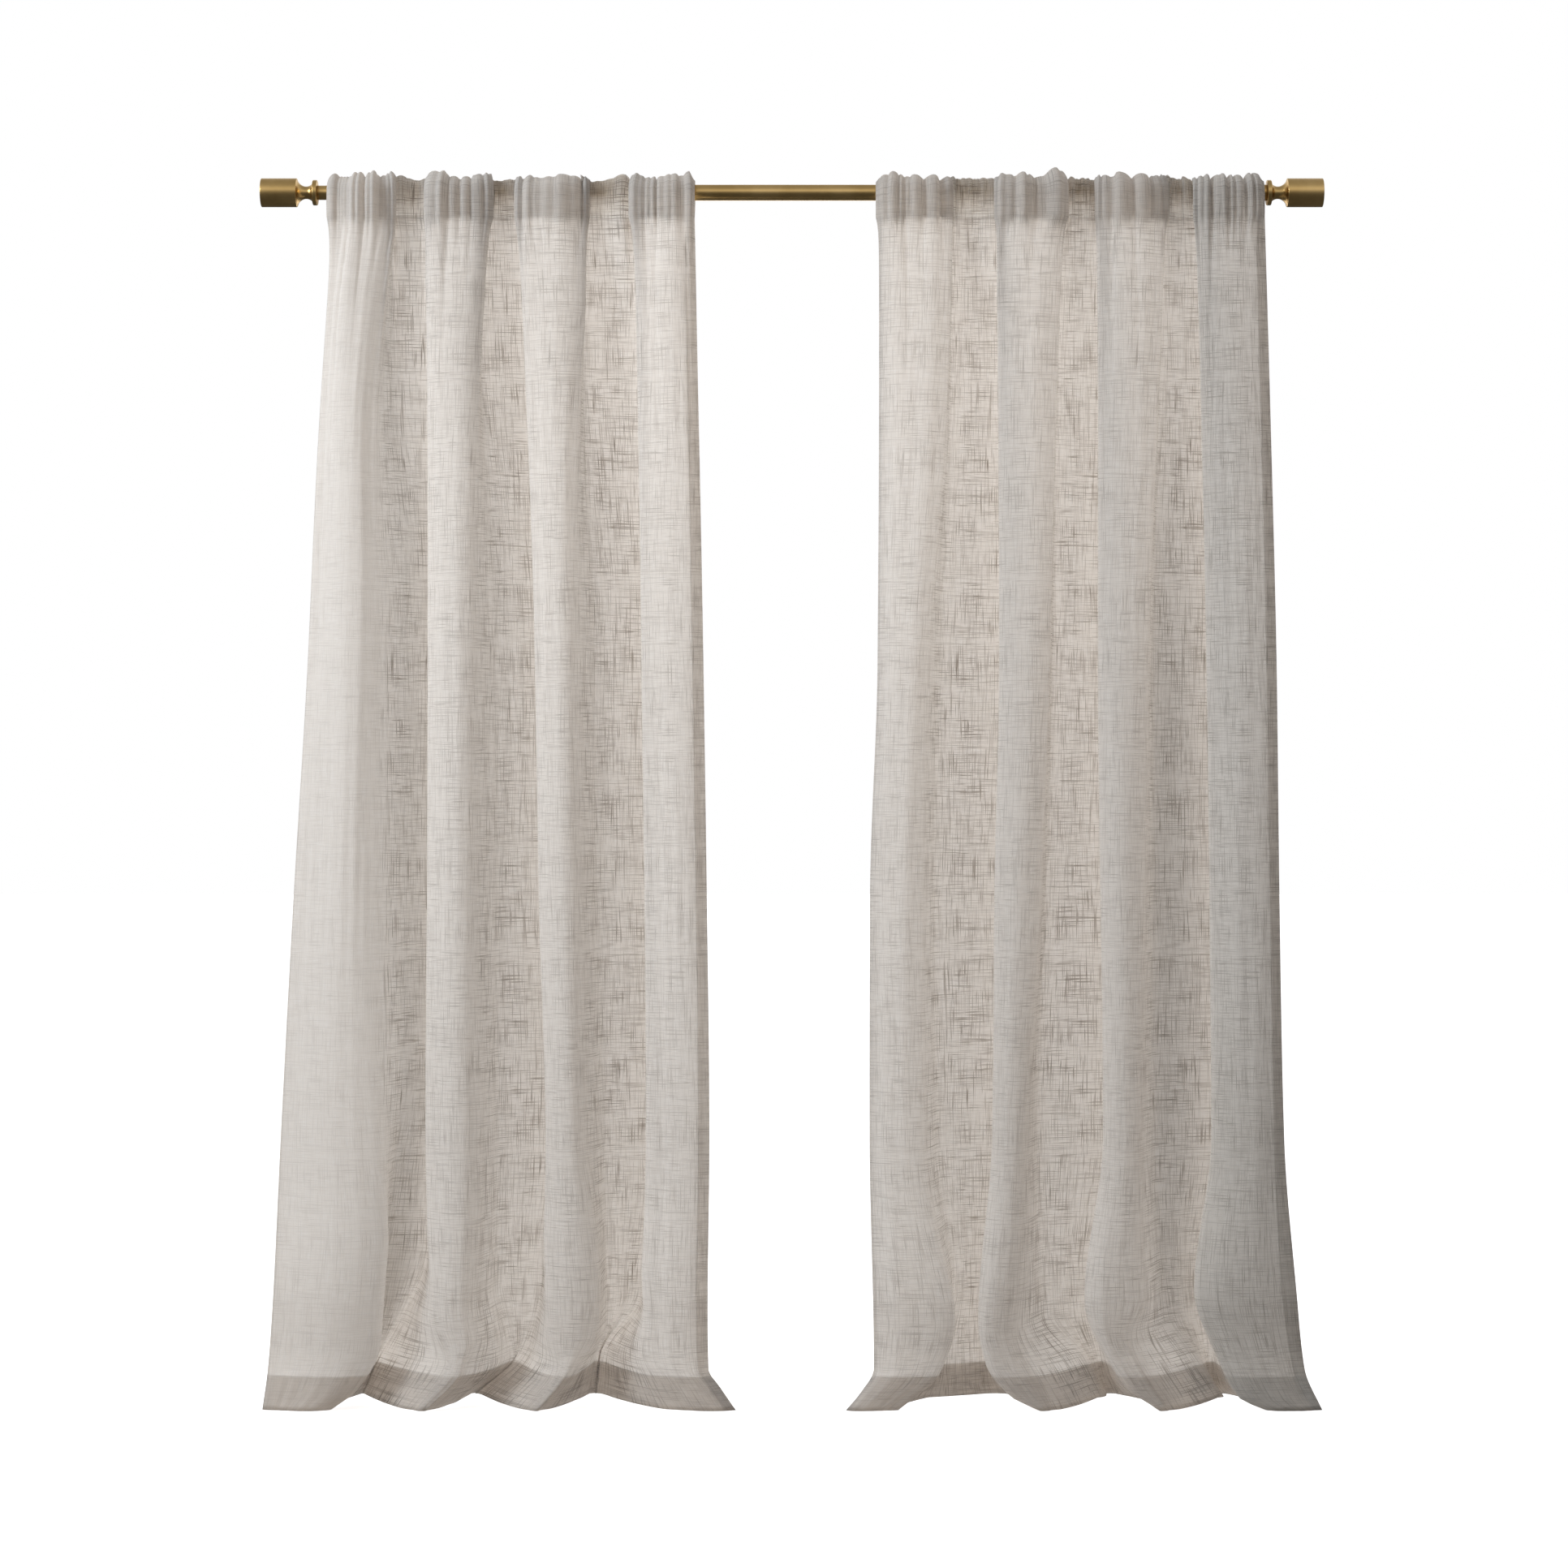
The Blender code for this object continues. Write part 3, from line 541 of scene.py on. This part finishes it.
def add_panel(side, crests, lie, seed):
    """One panel's cloth with its flat layout, the values its linen reads and the finish of each face."""
    grid, flat_u, pocket_count, look = panel_grid(crests, lie, seed)
    points, col_u, row_v, row_at, col_at, offset = hemmed(grid, flat_u, pocket_count)
    rows, columns = points.shape[:2]
    flat = points.reshape(-1, 3)
    slit_x = BRACKET_X[side]
    faces, corners, finishes = [], [], []
    behind = row_at < pocket_count // 2
    first_row = int(np.argmax(row_at == 0))
    bottom_v = row_v[np.argmax(row_at == len(grid) - 1)]
    for row in range(rows - 1):
        for column in range(columns - 1):
            here = points[row, column]
            at_arm = abs(here[0] - slit_x) < SLIT_HALF and here[2] < SLIT_TOP and here[1] > SLIT_FRONT_Y
            if behind[row] and at_arm:
                continue
            first = row * columns + column
            faces.append((first, first + columns, first + columns + 1, first + 1))
            corners.append((row, column))
            if row_v[row + 1] > bottom_v or row < first_row:
                finishes.append(HEM)
            else:
                hollow = look[row_at[row], col_at[column], 0] > HOLLOW_SLUBS
                pocket = behind[row] or (row_at[row] < pocket_count and hollow)
                side_hem = offset[row, column] > 0 or offset[row + 1, column + 1] > 0
                finishes.append(OPEN if pocket or side_hem else SINGLE)
    panel = add_mesh(side + "_curtain_panel", flat, faces)
    layer = panel.data.uv_layers.new(name="flat_cloth")
    spread = []
    for row, column in corners:
        for r, c in ((row, column), (row + 1, column), (row + 1, column + 1), (row, column + 1)):
            spread.append(col_u[c])
            spread.append(-row_v[r])
    layer.data.foreach_set("uv", spread)
    panel.data.polygons.foreach_set("material_index", finishes)
    # The linen reads each point's slub strength and its painted shade.
    for index, name in enumerate(("slubs_show", "painted_shade")):
        layer = panel.data.attributes.new(name, "FLOAT", "POINT")
        layer.data.foreach_set("value", look[np.ix_(row_at, col_at)][..., index].ravel())
    clean = bmesh.new()
    clean.from_mesh(panel.data)
    loose = [v for v in clean.verts if not v.link_faces]
    bmesh.ops.delete(clean, geom=loose, context="VERTS")
    clean.to_mesh(panel.data)
    clean.free()
    return panel, grid, flat_u, pocket_count


# ---- Materials ---------------------------------------------------------------------------------
class Graph:
    """Short calls for building a node material."""

    def __init__(self, name):
        self.material = bpy.data.materials.new(name)
        self.material.use_nodes = True
        self.nodes = self.material.node_tree.nodes
        self.links = self.material.node_tree.links
        self.nodes.clear()
        self.output = self.nodes.new("ShaderNodeOutputMaterial")

    def put(self, value, socket):
        if hasattr(value, "is_output"):
            self.links.new(value, socket)
        else:
            socket.default_value = value

    def math(self, operation, a, b=0.0):
        node = self.nodes.new("ShaderNodeMath")
        node.operation = operation
        self.put(a, node.inputs[0])
        self.put(b, node.inputs[1])
        return node.outputs[0]

    def coordinates(self, kind="UV"):
        node = self.nodes.new("ShaderNodeTexCoord")
        return node.outputs[kind]

    def attribute(self, name):
        node = self.nodes.new("ShaderNodeAttribute")
        node.attribute_name = name
        return node.outputs["Fac"]

    def separate(self, vector, index):
        node = self.nodes.new("ShaderNodeSeparateXYZ")
        self.links.new(vector, node.inputs[0])
        return node.outputs[index]

    def scaled(self, vector, scale, offset=(0.0, 0.0, 0.0)):
        node = self.nodes.new("ShaderNodeMapping")
        self.links.new(vector, node.inputs["Vector"])
        node.inputs["Scale"].default_value = scale
        node.inputs["Location"].default_value = offset
        return node.outputs[0]

    def noise(self, vector, detail=2.0, roughness=0.5):
        node = self.nodes.new("ShaderNodeTexNoise")
        self.links.new(vector, node.inputs["Vector"])
        node.inputs["Scale"].default_value = 1.0
        node.inputs["Detail"].default_value = detail
        node.inputs["Roughness"].default_value = roughness
        return node.outputs["Fac"]

    def band(self, value, low, high):
        """0 at low, 1 at high, smooth between."""
        node = self.nodes.new("ShaderNodeMapRange")
        node.interpolation_type = "SMOOTHSTEP"
        self.put(value, node.inputs["Value"])
        node.inputs["From Min"].default_value = low
        node.inputs["From Max"].default_value = high
        return node.outputs[0]

    def blend(self, factor, a, b):
        node = self.nodes.new("ShaderNodeMix")
        node.data_type = "RGBA"
        self.put(factor, node.inputs[0])
        self.put(a, node.inputs[6])
        self.put(b, node.inputs[7])
        return node.outputs[2]

    def bump(self, height, strength, distance):
        node = self.nodes.new("ShaderNodeBump")
        self.links.new(height, node.inputs["Height"])
        node.inputs["Strength"].default_value = strength
        node.inputs["Distance"].default_value = distance
        return node.outputs[0]

    def principled(self, **sockets):
        node = self.nodes.new("ShaderNodeBsdfPrincipled")
        for name, value in sockets.items():
            self.put(value, node.inputs[name.replace("_", " ")])
        return node

    def finish(self, shader):
        self.links.new(shader, self.output.inputs["Surface"])
        return self.material


def linen_material(name, passes, shines=(0.90, 0.82, 0.74, 1.0)):
    """Plain-weave linen look: thick slub yarns both ways, which block the light from behind.

    passes is the share of the light that goes through, and shines is that light's colour. The panel's
    slubs_show value says where the slubs show, and its second value is painted shade: where it is high
    the cloth's colour is darker and less light goes through.
    """
    g = Graph(name)
    flat = g.coordinates("UV")
    patches = g.band(g.noise(g.scaled(flat, (26.0, 16.0, 1.0)), 4.0, 0.65), 0.34, 0.68)
    strokes = []
    for across, along, low, high, shift in (
        (980.0, 17.0, 0.60, 0.66, 0.0),
        (720.0, 11.0, 0.62, 0.67, 5.3),
        (540.0, 9.0, 0.655, 0.70, 11.9),
    ):
        upright = g.noise(g.scaled(flat, (across, along, 1.0), (shift, 1.7 + shift, 0.0)), 1.0, 0.5)
        level = g.noise(g.scaled(flat, (along, across, 1.0), (3.1 + shift, shift, 0.0)), 1.0, 0.5)
        strokes += [g.band(upright, low, high), g.band(level, low, high)]
    slubs = strokes[0]
    for stroke in strokes[1:]:
        slubs = g.math("MAXIMUM", slubs, stroke)
    slubs = g.math("MULTIPLY", slubs, g.math("ADD", g.math("MULTIPLY", patches, 0.5), 0.5))
    slubs = g.math("MULTIPLY", slubs, g.attribute("slubs_show"))
    open_up = g.noise(g.scaled(flat, (640.0, 30.0, 1.0), (8.8, 2.6, 0.0)), 1.0, 0.5)
    open_level = g.noise(g.scaled(flat, (30.0, 640.0, 1.0), (2.2, 6.4, 0.0)), 1.0, 0.5)
    thin = g.math("MAXIMUM", g.band(open_up, 0.42, 0.30), g.band(open_level, 0.42, 0.30))
    turns = 2 * math.pi / YARN_REPEAT
    wave_u = g.math("SINE", g.math("MULTIPLY", g.separate(flat, 0), turns))
    wave_v = g.math("SINE", g.math("MULTIPLY", g.separate(flat, 1), turns))
    weave = g.math("MULTIPLY", wave_u, wave_v)
    height = g.math("ADD", g.math("MULTIPLY", weave, 0.12), g.math("MULTIPLY", slubs, 0.8))
    normal = g.bump(height, 0.35, 0.0006)
    seen = g.blend(slubs, (0.785, 0.773, 0.758, 1.0), (0.64, 0.61, 0.575, 1.0))
    # Painted shade: a darker, browner cloth colour, blended in by the panel's second value.
    painted_shade_tone = g.blend(slubs, (0.68, 0.62, 0.545, 1.0), (0.44, 0.395, 0.335, 1.0))
    seen = g.blend(g.attribute("painted_shade"), seen, painted_shade_tone)
    through = g.blend(g.math("MULTIPLY", thin, 0.6), shines, (1.0, 0.95, 0.90, 1.0))
    through = g.blend(slubs, through, (0.20, 0.14, 0.095, 1.0))
    front = g.principled(Base_Color=seen, Roughness=0.92, Normal=normal)
    front.inputs["Specular IOR Level"].default_value = 0.15
    front.inputs["Sheen Weight"].default_value = 0.12
    front.inputs["Sheen Roughness"].default_value = 0.5
    behind = g.nodes.new("ShaderNodeBsdfTranslucent")
    g.put(through, behind.inputs["Color"])
    g.put(normal, behind.inputs["Normal"])
    mix = g.nodes.new("ShaderNodeMixShader")
    # Painted shade also lets less light through where the panel's second value is high.
    g.put(g.math("MULTIPLY", g.math("SUBTRACT", 1.0, g.attribute("painted_shade")), passes), mix.inputs[0])
    g.links.new(front.outputs[0], mix.inputs[1])
    g.links.new(behind.outputs[0], mix.inputs[2])
    return g.finish(mix.outputs[0])


def thread_material():
    """Matt sewing thread with a fine twist."""
    g = Graph("sewing_thread")
    twist = g.noise(g.scaled(g.coordinates("Object"), (900.0, 900.0, 900.0)), 2.0)
    colour = g.blend(twist, (0.52, 0.49, 0.45, 1.0), (0.66, 0.63, 0.59, 1.0))
    shader = g.principled(Base_Color=colour, Roughness=0.7, Normal=g.bump(twist, 0.4, 0.0003))
    return g.finish(shader.outputs[0])


def brass_material():
    """Satin brass: turned lines round the part, faint cloudy tarnish, rubbed bright on its edges."""
    g = Graph("satin_brass")
    place = g.coordinates("Object")
    lines = g.noise(g.scaled(place, (2600.0, 60.0, 60.0)), 3.0, 0.6)
    cloud = g.noise(g.scaled(place, (22.0, 22.0, 22.0)), 4.0, 0.55)
    base = g.blend(g.band(cloud, 0.3, 0.72), (0.49, 0.325, 0.125, 1.0), (0.58, 0.40, 0.17, 1.0))
    geometry = g.nodes.new("ShaderNodeNewGeometry")
    worn = g.band(geometry.outputs["Pointiness"], 0.52, 0.60)
    colour = g.blend(g.math("MULTIPLY", worn, 0.6), base, (0.78, 0.60, 0.33, 1.0))
    rough = g.math("ADD", g.math("MULTIPLY", lines, 0.14), g.math("MULTIPLY", cloud, 0.10))
    rough = g.math("ADD", rough, 0.20)
    normal = g.bump(lines, 0.12, 0.0002)
    shader = g.principled(Base_Color=colour, Roughness=rough, Metallic=1.0, Normal=normal)
    return g.finish(shader.outputs[0])


def steel_material():
    """Zinc-plated steel with fine spangle."""
    g = Graph("zinc_steel")
    place = g.coordinates("Object")
    spangle = g.noise(g.scaled(place, (260.0, 260.0, 260.0)), 2.0)
    brushed = g.noise(g.scaled(place, (40.0, 1500.0, 40.0)), 2.0)
    colour = g.blend(spangle, (0.52, 0.53, 0.54, 1.0), (0.68, 0.68, 0.67, 1.0))
    rough = g.math("ADD", g.math("MULTIPLY", brushed, 0.2), 0.25)
    normal = g.bump(brushed, 0.1, 0.0002)
    shader = g.principled(Base_Color=colour, Roughness=rough, Metallic=1.0, Normal=normal)
    return g.finish(shader.outputs[0])


def plastic_material():
    """Moulded nylon with a fine spark-eroded grain."""
    g = Graph("nylon")
    place = g.coordinates("Object")
    grain = g.noise(g.scaled(place, (1800.0, 1800.0, 1800.0)), 2.0)
    tone = g.noise(g.scaled(place, (60.0, 60.0, 60.0)), 2.0)
    colour = g.blend(tone, (0.20, 0.17, 0.14, 1.0), (0.26, 0.23, 0.20, 1.0))
    rough = g.math("ADD", g.math("MULTIPLY", grain, 0.2), 0.42)
    shader = g.principled(Base_Color=colour, Roughness=rough, Normal=g.bump(grain, 0.2, 0.0002))
    return g.finish(shader.outputs[0])


# ---- Turned metal pieces -----------------------------------------------------------------------
def turned_piece(name, profile, direction, x_start, segments=96):
    """Turn (distance, radius) points about the rod's axis. direction is which way the distance runs."""
    vertices, faces = [], []
    for along, radius in profile:
        for step in range(segments):
            angle = 2 * math.pi * step / segments
            y, z = radius * math.cos(angle), ROD_Z + radius * math.sin(angle)
            vertices.append((x_start + direction * along, y, z))
    for ring in range(len(profile) - 1):
        for step in range(segments):
            after = (step + 1) % segments
            here, ahead = ring * segments, (ring + 1) * segments
            quad = [here + step, here + after, ahead + after, ahead + step]
            faces.append(quad if direction < 0 else quad[::-1])
    item = add_mesh(name, vertices, faces)
    item.data.set_sharp_from_angle(angle=math.radians(38))
    return item


def rounded(points, radius, steps=4):
    """Round each inner corner of a profile with a small arc-like curve."""
    out = [points[0]]
    for before, here, after in zip(points, points[1:], points[2:]):
        before, here, after = np.array(before), np.array(here), np.array(after)
        reach = min(radius, np.linalg.norm(here - before) / 2.2, np.linalg.norm(after - here) / 2.2)
        start = here + (before - here) / np.linalg.norm(before - here) * reach
        end = here + (after - here) / np.linalg.norm(after - here) * reach
        for step in range(steps + 1):
            t = step / steps
            out.append(tuple((1 - t) ** 2 * start + 2 * t * (1 - t) * here + t**2 * end))
    return out + [points[-1]]


def finial_profile():
    """Flat face with the stud's hole, ring collar, hollowed neck, cylinder and flat tip."""
    collar_r, collar_length, neck_r, neck_length, body_r = 0.022, 0.008, 0.0108, 0.027, 0.025
    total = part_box("right_finial")[1][0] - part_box("right_finial")[0][0]
    collar_back = [(collar_length, collar_r), (collar_length, collar_r - 0.004)]
    collar = rounded([(0.0, 0.0034), (0.0, collar_r)] + collar_back, 0.0018)
    neck = []
    for step in range(1, 29):
        share = step / 29
        rim = (collar_r - 0.0035) + (body_r - 0.002 - collar_r + 0.0035) * share
        scoop = math.sin(math.pi * share**0.82) ** 0.62
        neck.append((collar_length + neck_length * share, rim + (neck_r - rim) * scoop))
    start = collar_length + neck_length
    edge = [(start, body_r - 0.002), (start + 0.0008, body_r)]
    body = rounded(edge + [(total, body_r), (total, 0.0001)], 0.0013)
    return collar + neck + body


def tube_profile(radius, length):
    """A tube's outside with softened rims, and the first few millimetres of its inside at both ends."""
    wall = 0.0011
    ends = [(0.004, radius - wall), (0.0, radius - wall), (0.0, radius), (length, radius)]
    ends += [(length, radius - wall), (length - 0.004, radius - wall)]
    return rounded(ends, 0.0004, 2)


def add_metalwork(brass):
    """The two tubes and two finials, turned in finer steps than the CAD's."""
    low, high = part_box("outer_tube")
    outer = turned_piece("rod_outer_tube", tube_profile(ROD_R, high[0] - low[0]), 1, low[0])
    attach(outer, "rod")
    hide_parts("outer_tube")
    low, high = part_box("inner_tube")
    inner_profile = tube_profile((high[2] - low[2]) / 2, high[0] - low[0])
    inner = turned_piece("rod_inner_tube", inner_profile, 1, low[0])
    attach(inner, "rod_inner")
    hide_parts("inner_tube")
    pieces = [outer, inner]
    for side, direction, corner in (("left", -1, 1), ("right", 1, 0)):
        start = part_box(side + "_finial")[corner][0]
        finial = turned_piece(side + "_finial_turned", finial_profile(), direction, start, 128)
        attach(finial, side + "_finial_body")
        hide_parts(side + "_finial")
        pieces.append(finial)
    for piece in pieces:
        piece.data.materials.append(brass)


# ---- Stitches ----------------------------------------------------------------------------------
def stitch_run(path, outward):
    """Small pointed threads laid end to end along a path, each with its own corner points."""
    step = np.linalg.norm(np.diff(path, axis=0), axis=1)
    along = np.concatenate([[0.0], np.cumsum(step)])
    count = int(along[-1] / STITCH_PITCH)
    vertices, faces = [], []

    def at(distance, table):
        return np.stack([np.interp(distance, along, table[:, k]) for k in range(3)])

    for index in range(count):
        middle = (index + 0.5) * STITCH_PITCH
        centre = at(middle, path)
        out = at(middle, outward)
        out = out / max(np.linalg.norm(out), 1e-9)
        reach = STITCH_LENGTH / 2
        run = at(min(middle + reach, along[-1]), path) - at(max(middle - reach, 0.0), path)
        run = run / max(np.linalg.norm(run), 1e-9)
        across = np.cross(out, run)
        first = len(vertices)
        out, across = out * STITCH_RADIUS, across * STITCH_RADIUS
        centre = centre + out * 0.4
        tips = [centre - run * reach - out, centre + run * reach - out]
        ring = [centre + out, centre + across, centre - out, centre - across]
        vertices += tips + ring
        for k in range(4):
            faces.append((first, first + 2 + k, first + 2 + (k + 1) % 4))
            faces.append((first + 1, first + 2 + (k + 1) % 4, first + 2 + k))
    return vertices, faces


def add_stitches(side, grid, flat_u, pocket_count, thread):
    """Thread lines at the pocket's seam, the bottom hem and both side hems, on the face of the cloth."""
    normals = grid_normals(grid)
    path = np.linalg.norm(np.diff(grid, axis=0), axis=2).mean(axis=1)
    flat_v = np.concatenate([[0.0], np.cumsum(path)])
    hem_row = int(np.argmin(np.abs(flat_v[-1] - flat_v - BOTTOM_HEM + 0.003)))
    left_column = int(np.argmin(np.abs(flat_u - SIDE_HEM + 0.002)))
    right_column = int(np.argmin(np.abs(flat_u[-1] - flat_u - SIDE_HEM + 0.002)))
    vertices, faces = [], []
    lines = [(grid[pocket_count], -normals[pocket_count]), (grid[hem_row], -normals[hem_row])]
    for column in (left_column, right_column):
        lines.append((grid[pocket_count:, column], -normals[pocket_count:, column]))
    for line, outward in lines:
        more, joined = stitch_run(line, outward)
        first = len(vertices)
        vertices += more
        faces += [tuple(first + corner for corner in face) for face in joined]
    stitches = add_mesh(side + "_panel_stitches", vertices, faces)
    stitches.data.materials.append(thread)
    return stitches


# ---- Build -------------------------------------------------------------------------------------
linen = linen_material("linen", 0.47)
hem_linen = linen_material("linen_hem", 0.38)
open_linen = linen_material("linen_open", 0.74, (0.95, 0.92, 0.88, 1.0))
thread, brass = thread_material(), brass_material()
steel, plastic = steel_material(), plastic_material()
PANELS = (
    ("left", LEFT_CRESTS, LEFT_LIE, 11, -0.750, -0.170, "inner_tube"),
    ("right", RIGHT_CRESTS, RIGHT_LIE, 23, 0.745, 0.153, "outer_tube"),
)
for side, crests, lie, seed, outer_x, leading_x, tube in PANELS:
    panel, grid, flat_u, pocket_count = add_panel(side, crests, lie, seed)
    for finish in (linen, hem_linen, open_linen):
        panel.data.materials.append(finish)
    stitches = add_stitches(side, grid, flat_u, pocket_count, thread)
    for piece in (panel, stitches):
        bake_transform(piece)
    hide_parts(*[f"{side}_panel_fold_{fold}" for fold in (1, 2, 3, 4)])
add_metalwork(brass)
for name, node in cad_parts.items():
    if "fold" in name or node.hide_render:
        continue
    finish = brass
    if "plate" in name or "screw_" in name or "stud" in name:
        finish = steel
    if "plug" in name or "bushing" in name:
        finish = plastic
    if not node.data.materials:
        node.data.materials.append(finish)
    for index in range(len(node.data.materials)):
        node.data.materials[index] = finish

# ---- Floor, light and camera -------------------------------------------------------------------
floor_mesh = bpy.data.meshes.new("floor")
floor_mesh.from_pydata([(-30, -30, 0), (30, -30, 0), (30, 30, 0), (-30, 30, 0)], [], [(0, 1, 2, 3)])
floor = bpy.data.objects.new("floor", floor_mesh)
floor.location.z = -0.0005
bpy.context.scene.collection.objects.link(floor)
paint = Graph("floor_paint")
mottle = paint.noise(paint.scaled(paint.coordinates("Object"), (3.0, 3.0, 3.0)), 3.0)
tone = paint.blend(mottle, (0.93, 0.93, 0.93, 1.0), (0.95, 0.95, 0.95, 1.0))
floor_shader = paint.principled(Base_Color=tone, Roughness=0.9)
floor_shader.inputs["Emission Color"].default_value = (1.0, 1.0, 1.0, 1.0)
floor_shader.inputs["Emission Strength"].default_value = 0.72
floor_mesh.materials.append(paint.finish(floor_shader.outputs[0]))
floor.visible_glossy = False
floor.visible_diffuse = False


def studio_world():
    """White behind the curtains, dimmer towards the room; only metal mirrors a graded surround."""
    world = bpy.data.worlds.new("studio")
    bpy.context.scene.world = world
    world.use_nodes = True
    nodes, links = world.node_tree.nodes, world.node_tree.links
    direction = nodes.new("ShaderNodeSeparateXYZ")
    links.new(nodes.new("ShaderNodeTexCoord").outputs["Generated"], direction.inputs[0])
    path = nodes.new("ShaderNodeLightPath")

    def ramp(source, stops):
        node = nodes.new("ShaderNodeMapRange")
        node.inputs["From Min"].default_value = -1.0
        node.inputs["From Max"].default_value = 1.0
        links.new(source, node.inputs["Value"])
        colours = nodes.new("ShaderNodeValToRGB")
        links.new(node.outputs[0], colours.inputs[0])
        marks = colours.color_ramp.elements
        while len(marks) < len(stops):
            marks.new(0.5)
        for mark, (place, level) in zip(marks, stops):
            mark.position = (place + 1) / 2
            mark.color = (level, level, level, 1.0)
        return colours.outputs[0]

    def choose(flag, no, yes):
        node = nodes.new("ShaderNodeMix")
        node.data_type = "RGBA"
        links.new(flag, node.inputs[0])
        for value, socket in ((no, node.inputs[6]), (yes, node.inputs[7])):
            if hasattr(value, "is_output"):
                links.new(value, socket)
            else:
                socket.default_value = value
        return node.outputs[2]

    level = ramp(
        direction.outputs[1],
        ((-1.0, FRONT_FILL), (-0.15, FRONT_FILL), (0.30, BACK_GLOW), (1.0, BACK_GLOW)),
    )
    overhead = ramp(direction.outputs[2], ((-1.0, 0.0), (0.80, 0.0), (0.92, 1.0), (1.0, 1.0)))
    soft = choose(overhead, level, (OVERHEAD, OVERHEAD, OVERHEAD, 1.0))
    mirrored = ramp(
        direction.outputs[2],
        ((-1.0, 0.10), (-0.25, 0.12), (0.05, 0.30), (0.25, 1.0), (0.45, 1.1), (0.75, 0.55), (1.0, 0.45)),
    )
    colour = choose(path.outputs["Is Glossy Ray"], soft, mirrored)
    colour = choose(path.outputs["Is Camera Ray"], colour, (1.0, 1.0, 1.0, 1.0))
    links.new(colour, nodes["Background"].inputs["Color"])


studio_world()


def add_area(name, location, aim, size, power, colour):
    """A rectangular softbox at the location, facing the aim."""
    lamp = bpy.data.lights.new(name, "AREA")
    lamp.shape = "RECTANGLE"
    lamp.size, lamp.size_y = size
    lamp.energy = power
    lamp.color = colour
    item = bpy.data.objects.new(name, lamp)
    item.location = location
    bpy.context.scene.collection.objects.link(item)
    direction = np.array(aim) - np.array(location)
    yaw = math.atan2(-direction[0], direction[1])
    pitch = math.atan2(direction[2], math.hypot(direction[0], direction[1]))
    item.rotation_euler = (math.pi / 2 + pitch, 0.0, yaw)
    return item


key_tint = (0.89, 0.95, 1.0)
key = add_area("key_softbox", (-4.4, -1.95, 3.2), (-0.5, 0.0, 1.55), (1.4, 1.8), 29.0, key_tint)
key.data.spread = math.radians(KEY_SPREAD)
window_tint = (1.0, 0.98, 0.96)
window = add_area("window_softbox", (0.0, 1.0, 1.95), (0.0, 0.0, 1.6), (1.0, 1.0), 7.0, window_tint)
window.visible_camera = False

camera_data = bpy.data.cameras.new("camera")
camera_data.sensor_width = SENSOR_MM
camera_data.lens = SENSOR_MM * CAMERA_DISTANCE / VIEW_WIDTH
camera = bpy.data.objects.new("camera", camera_data)
camera.location = (CAMERA_X, -CAMERA_DISTANCE, CAMERA_Z)
camera.rotation_euler = (math.pi / 2, 0.0, 0.0)
bpy.context.scene.collection.objects.link(camera)
bpy.context.scene.camera = camera
bpy.context.scene.view_settings.view_transform = "Standard"

bpy.context.view_layer.update()
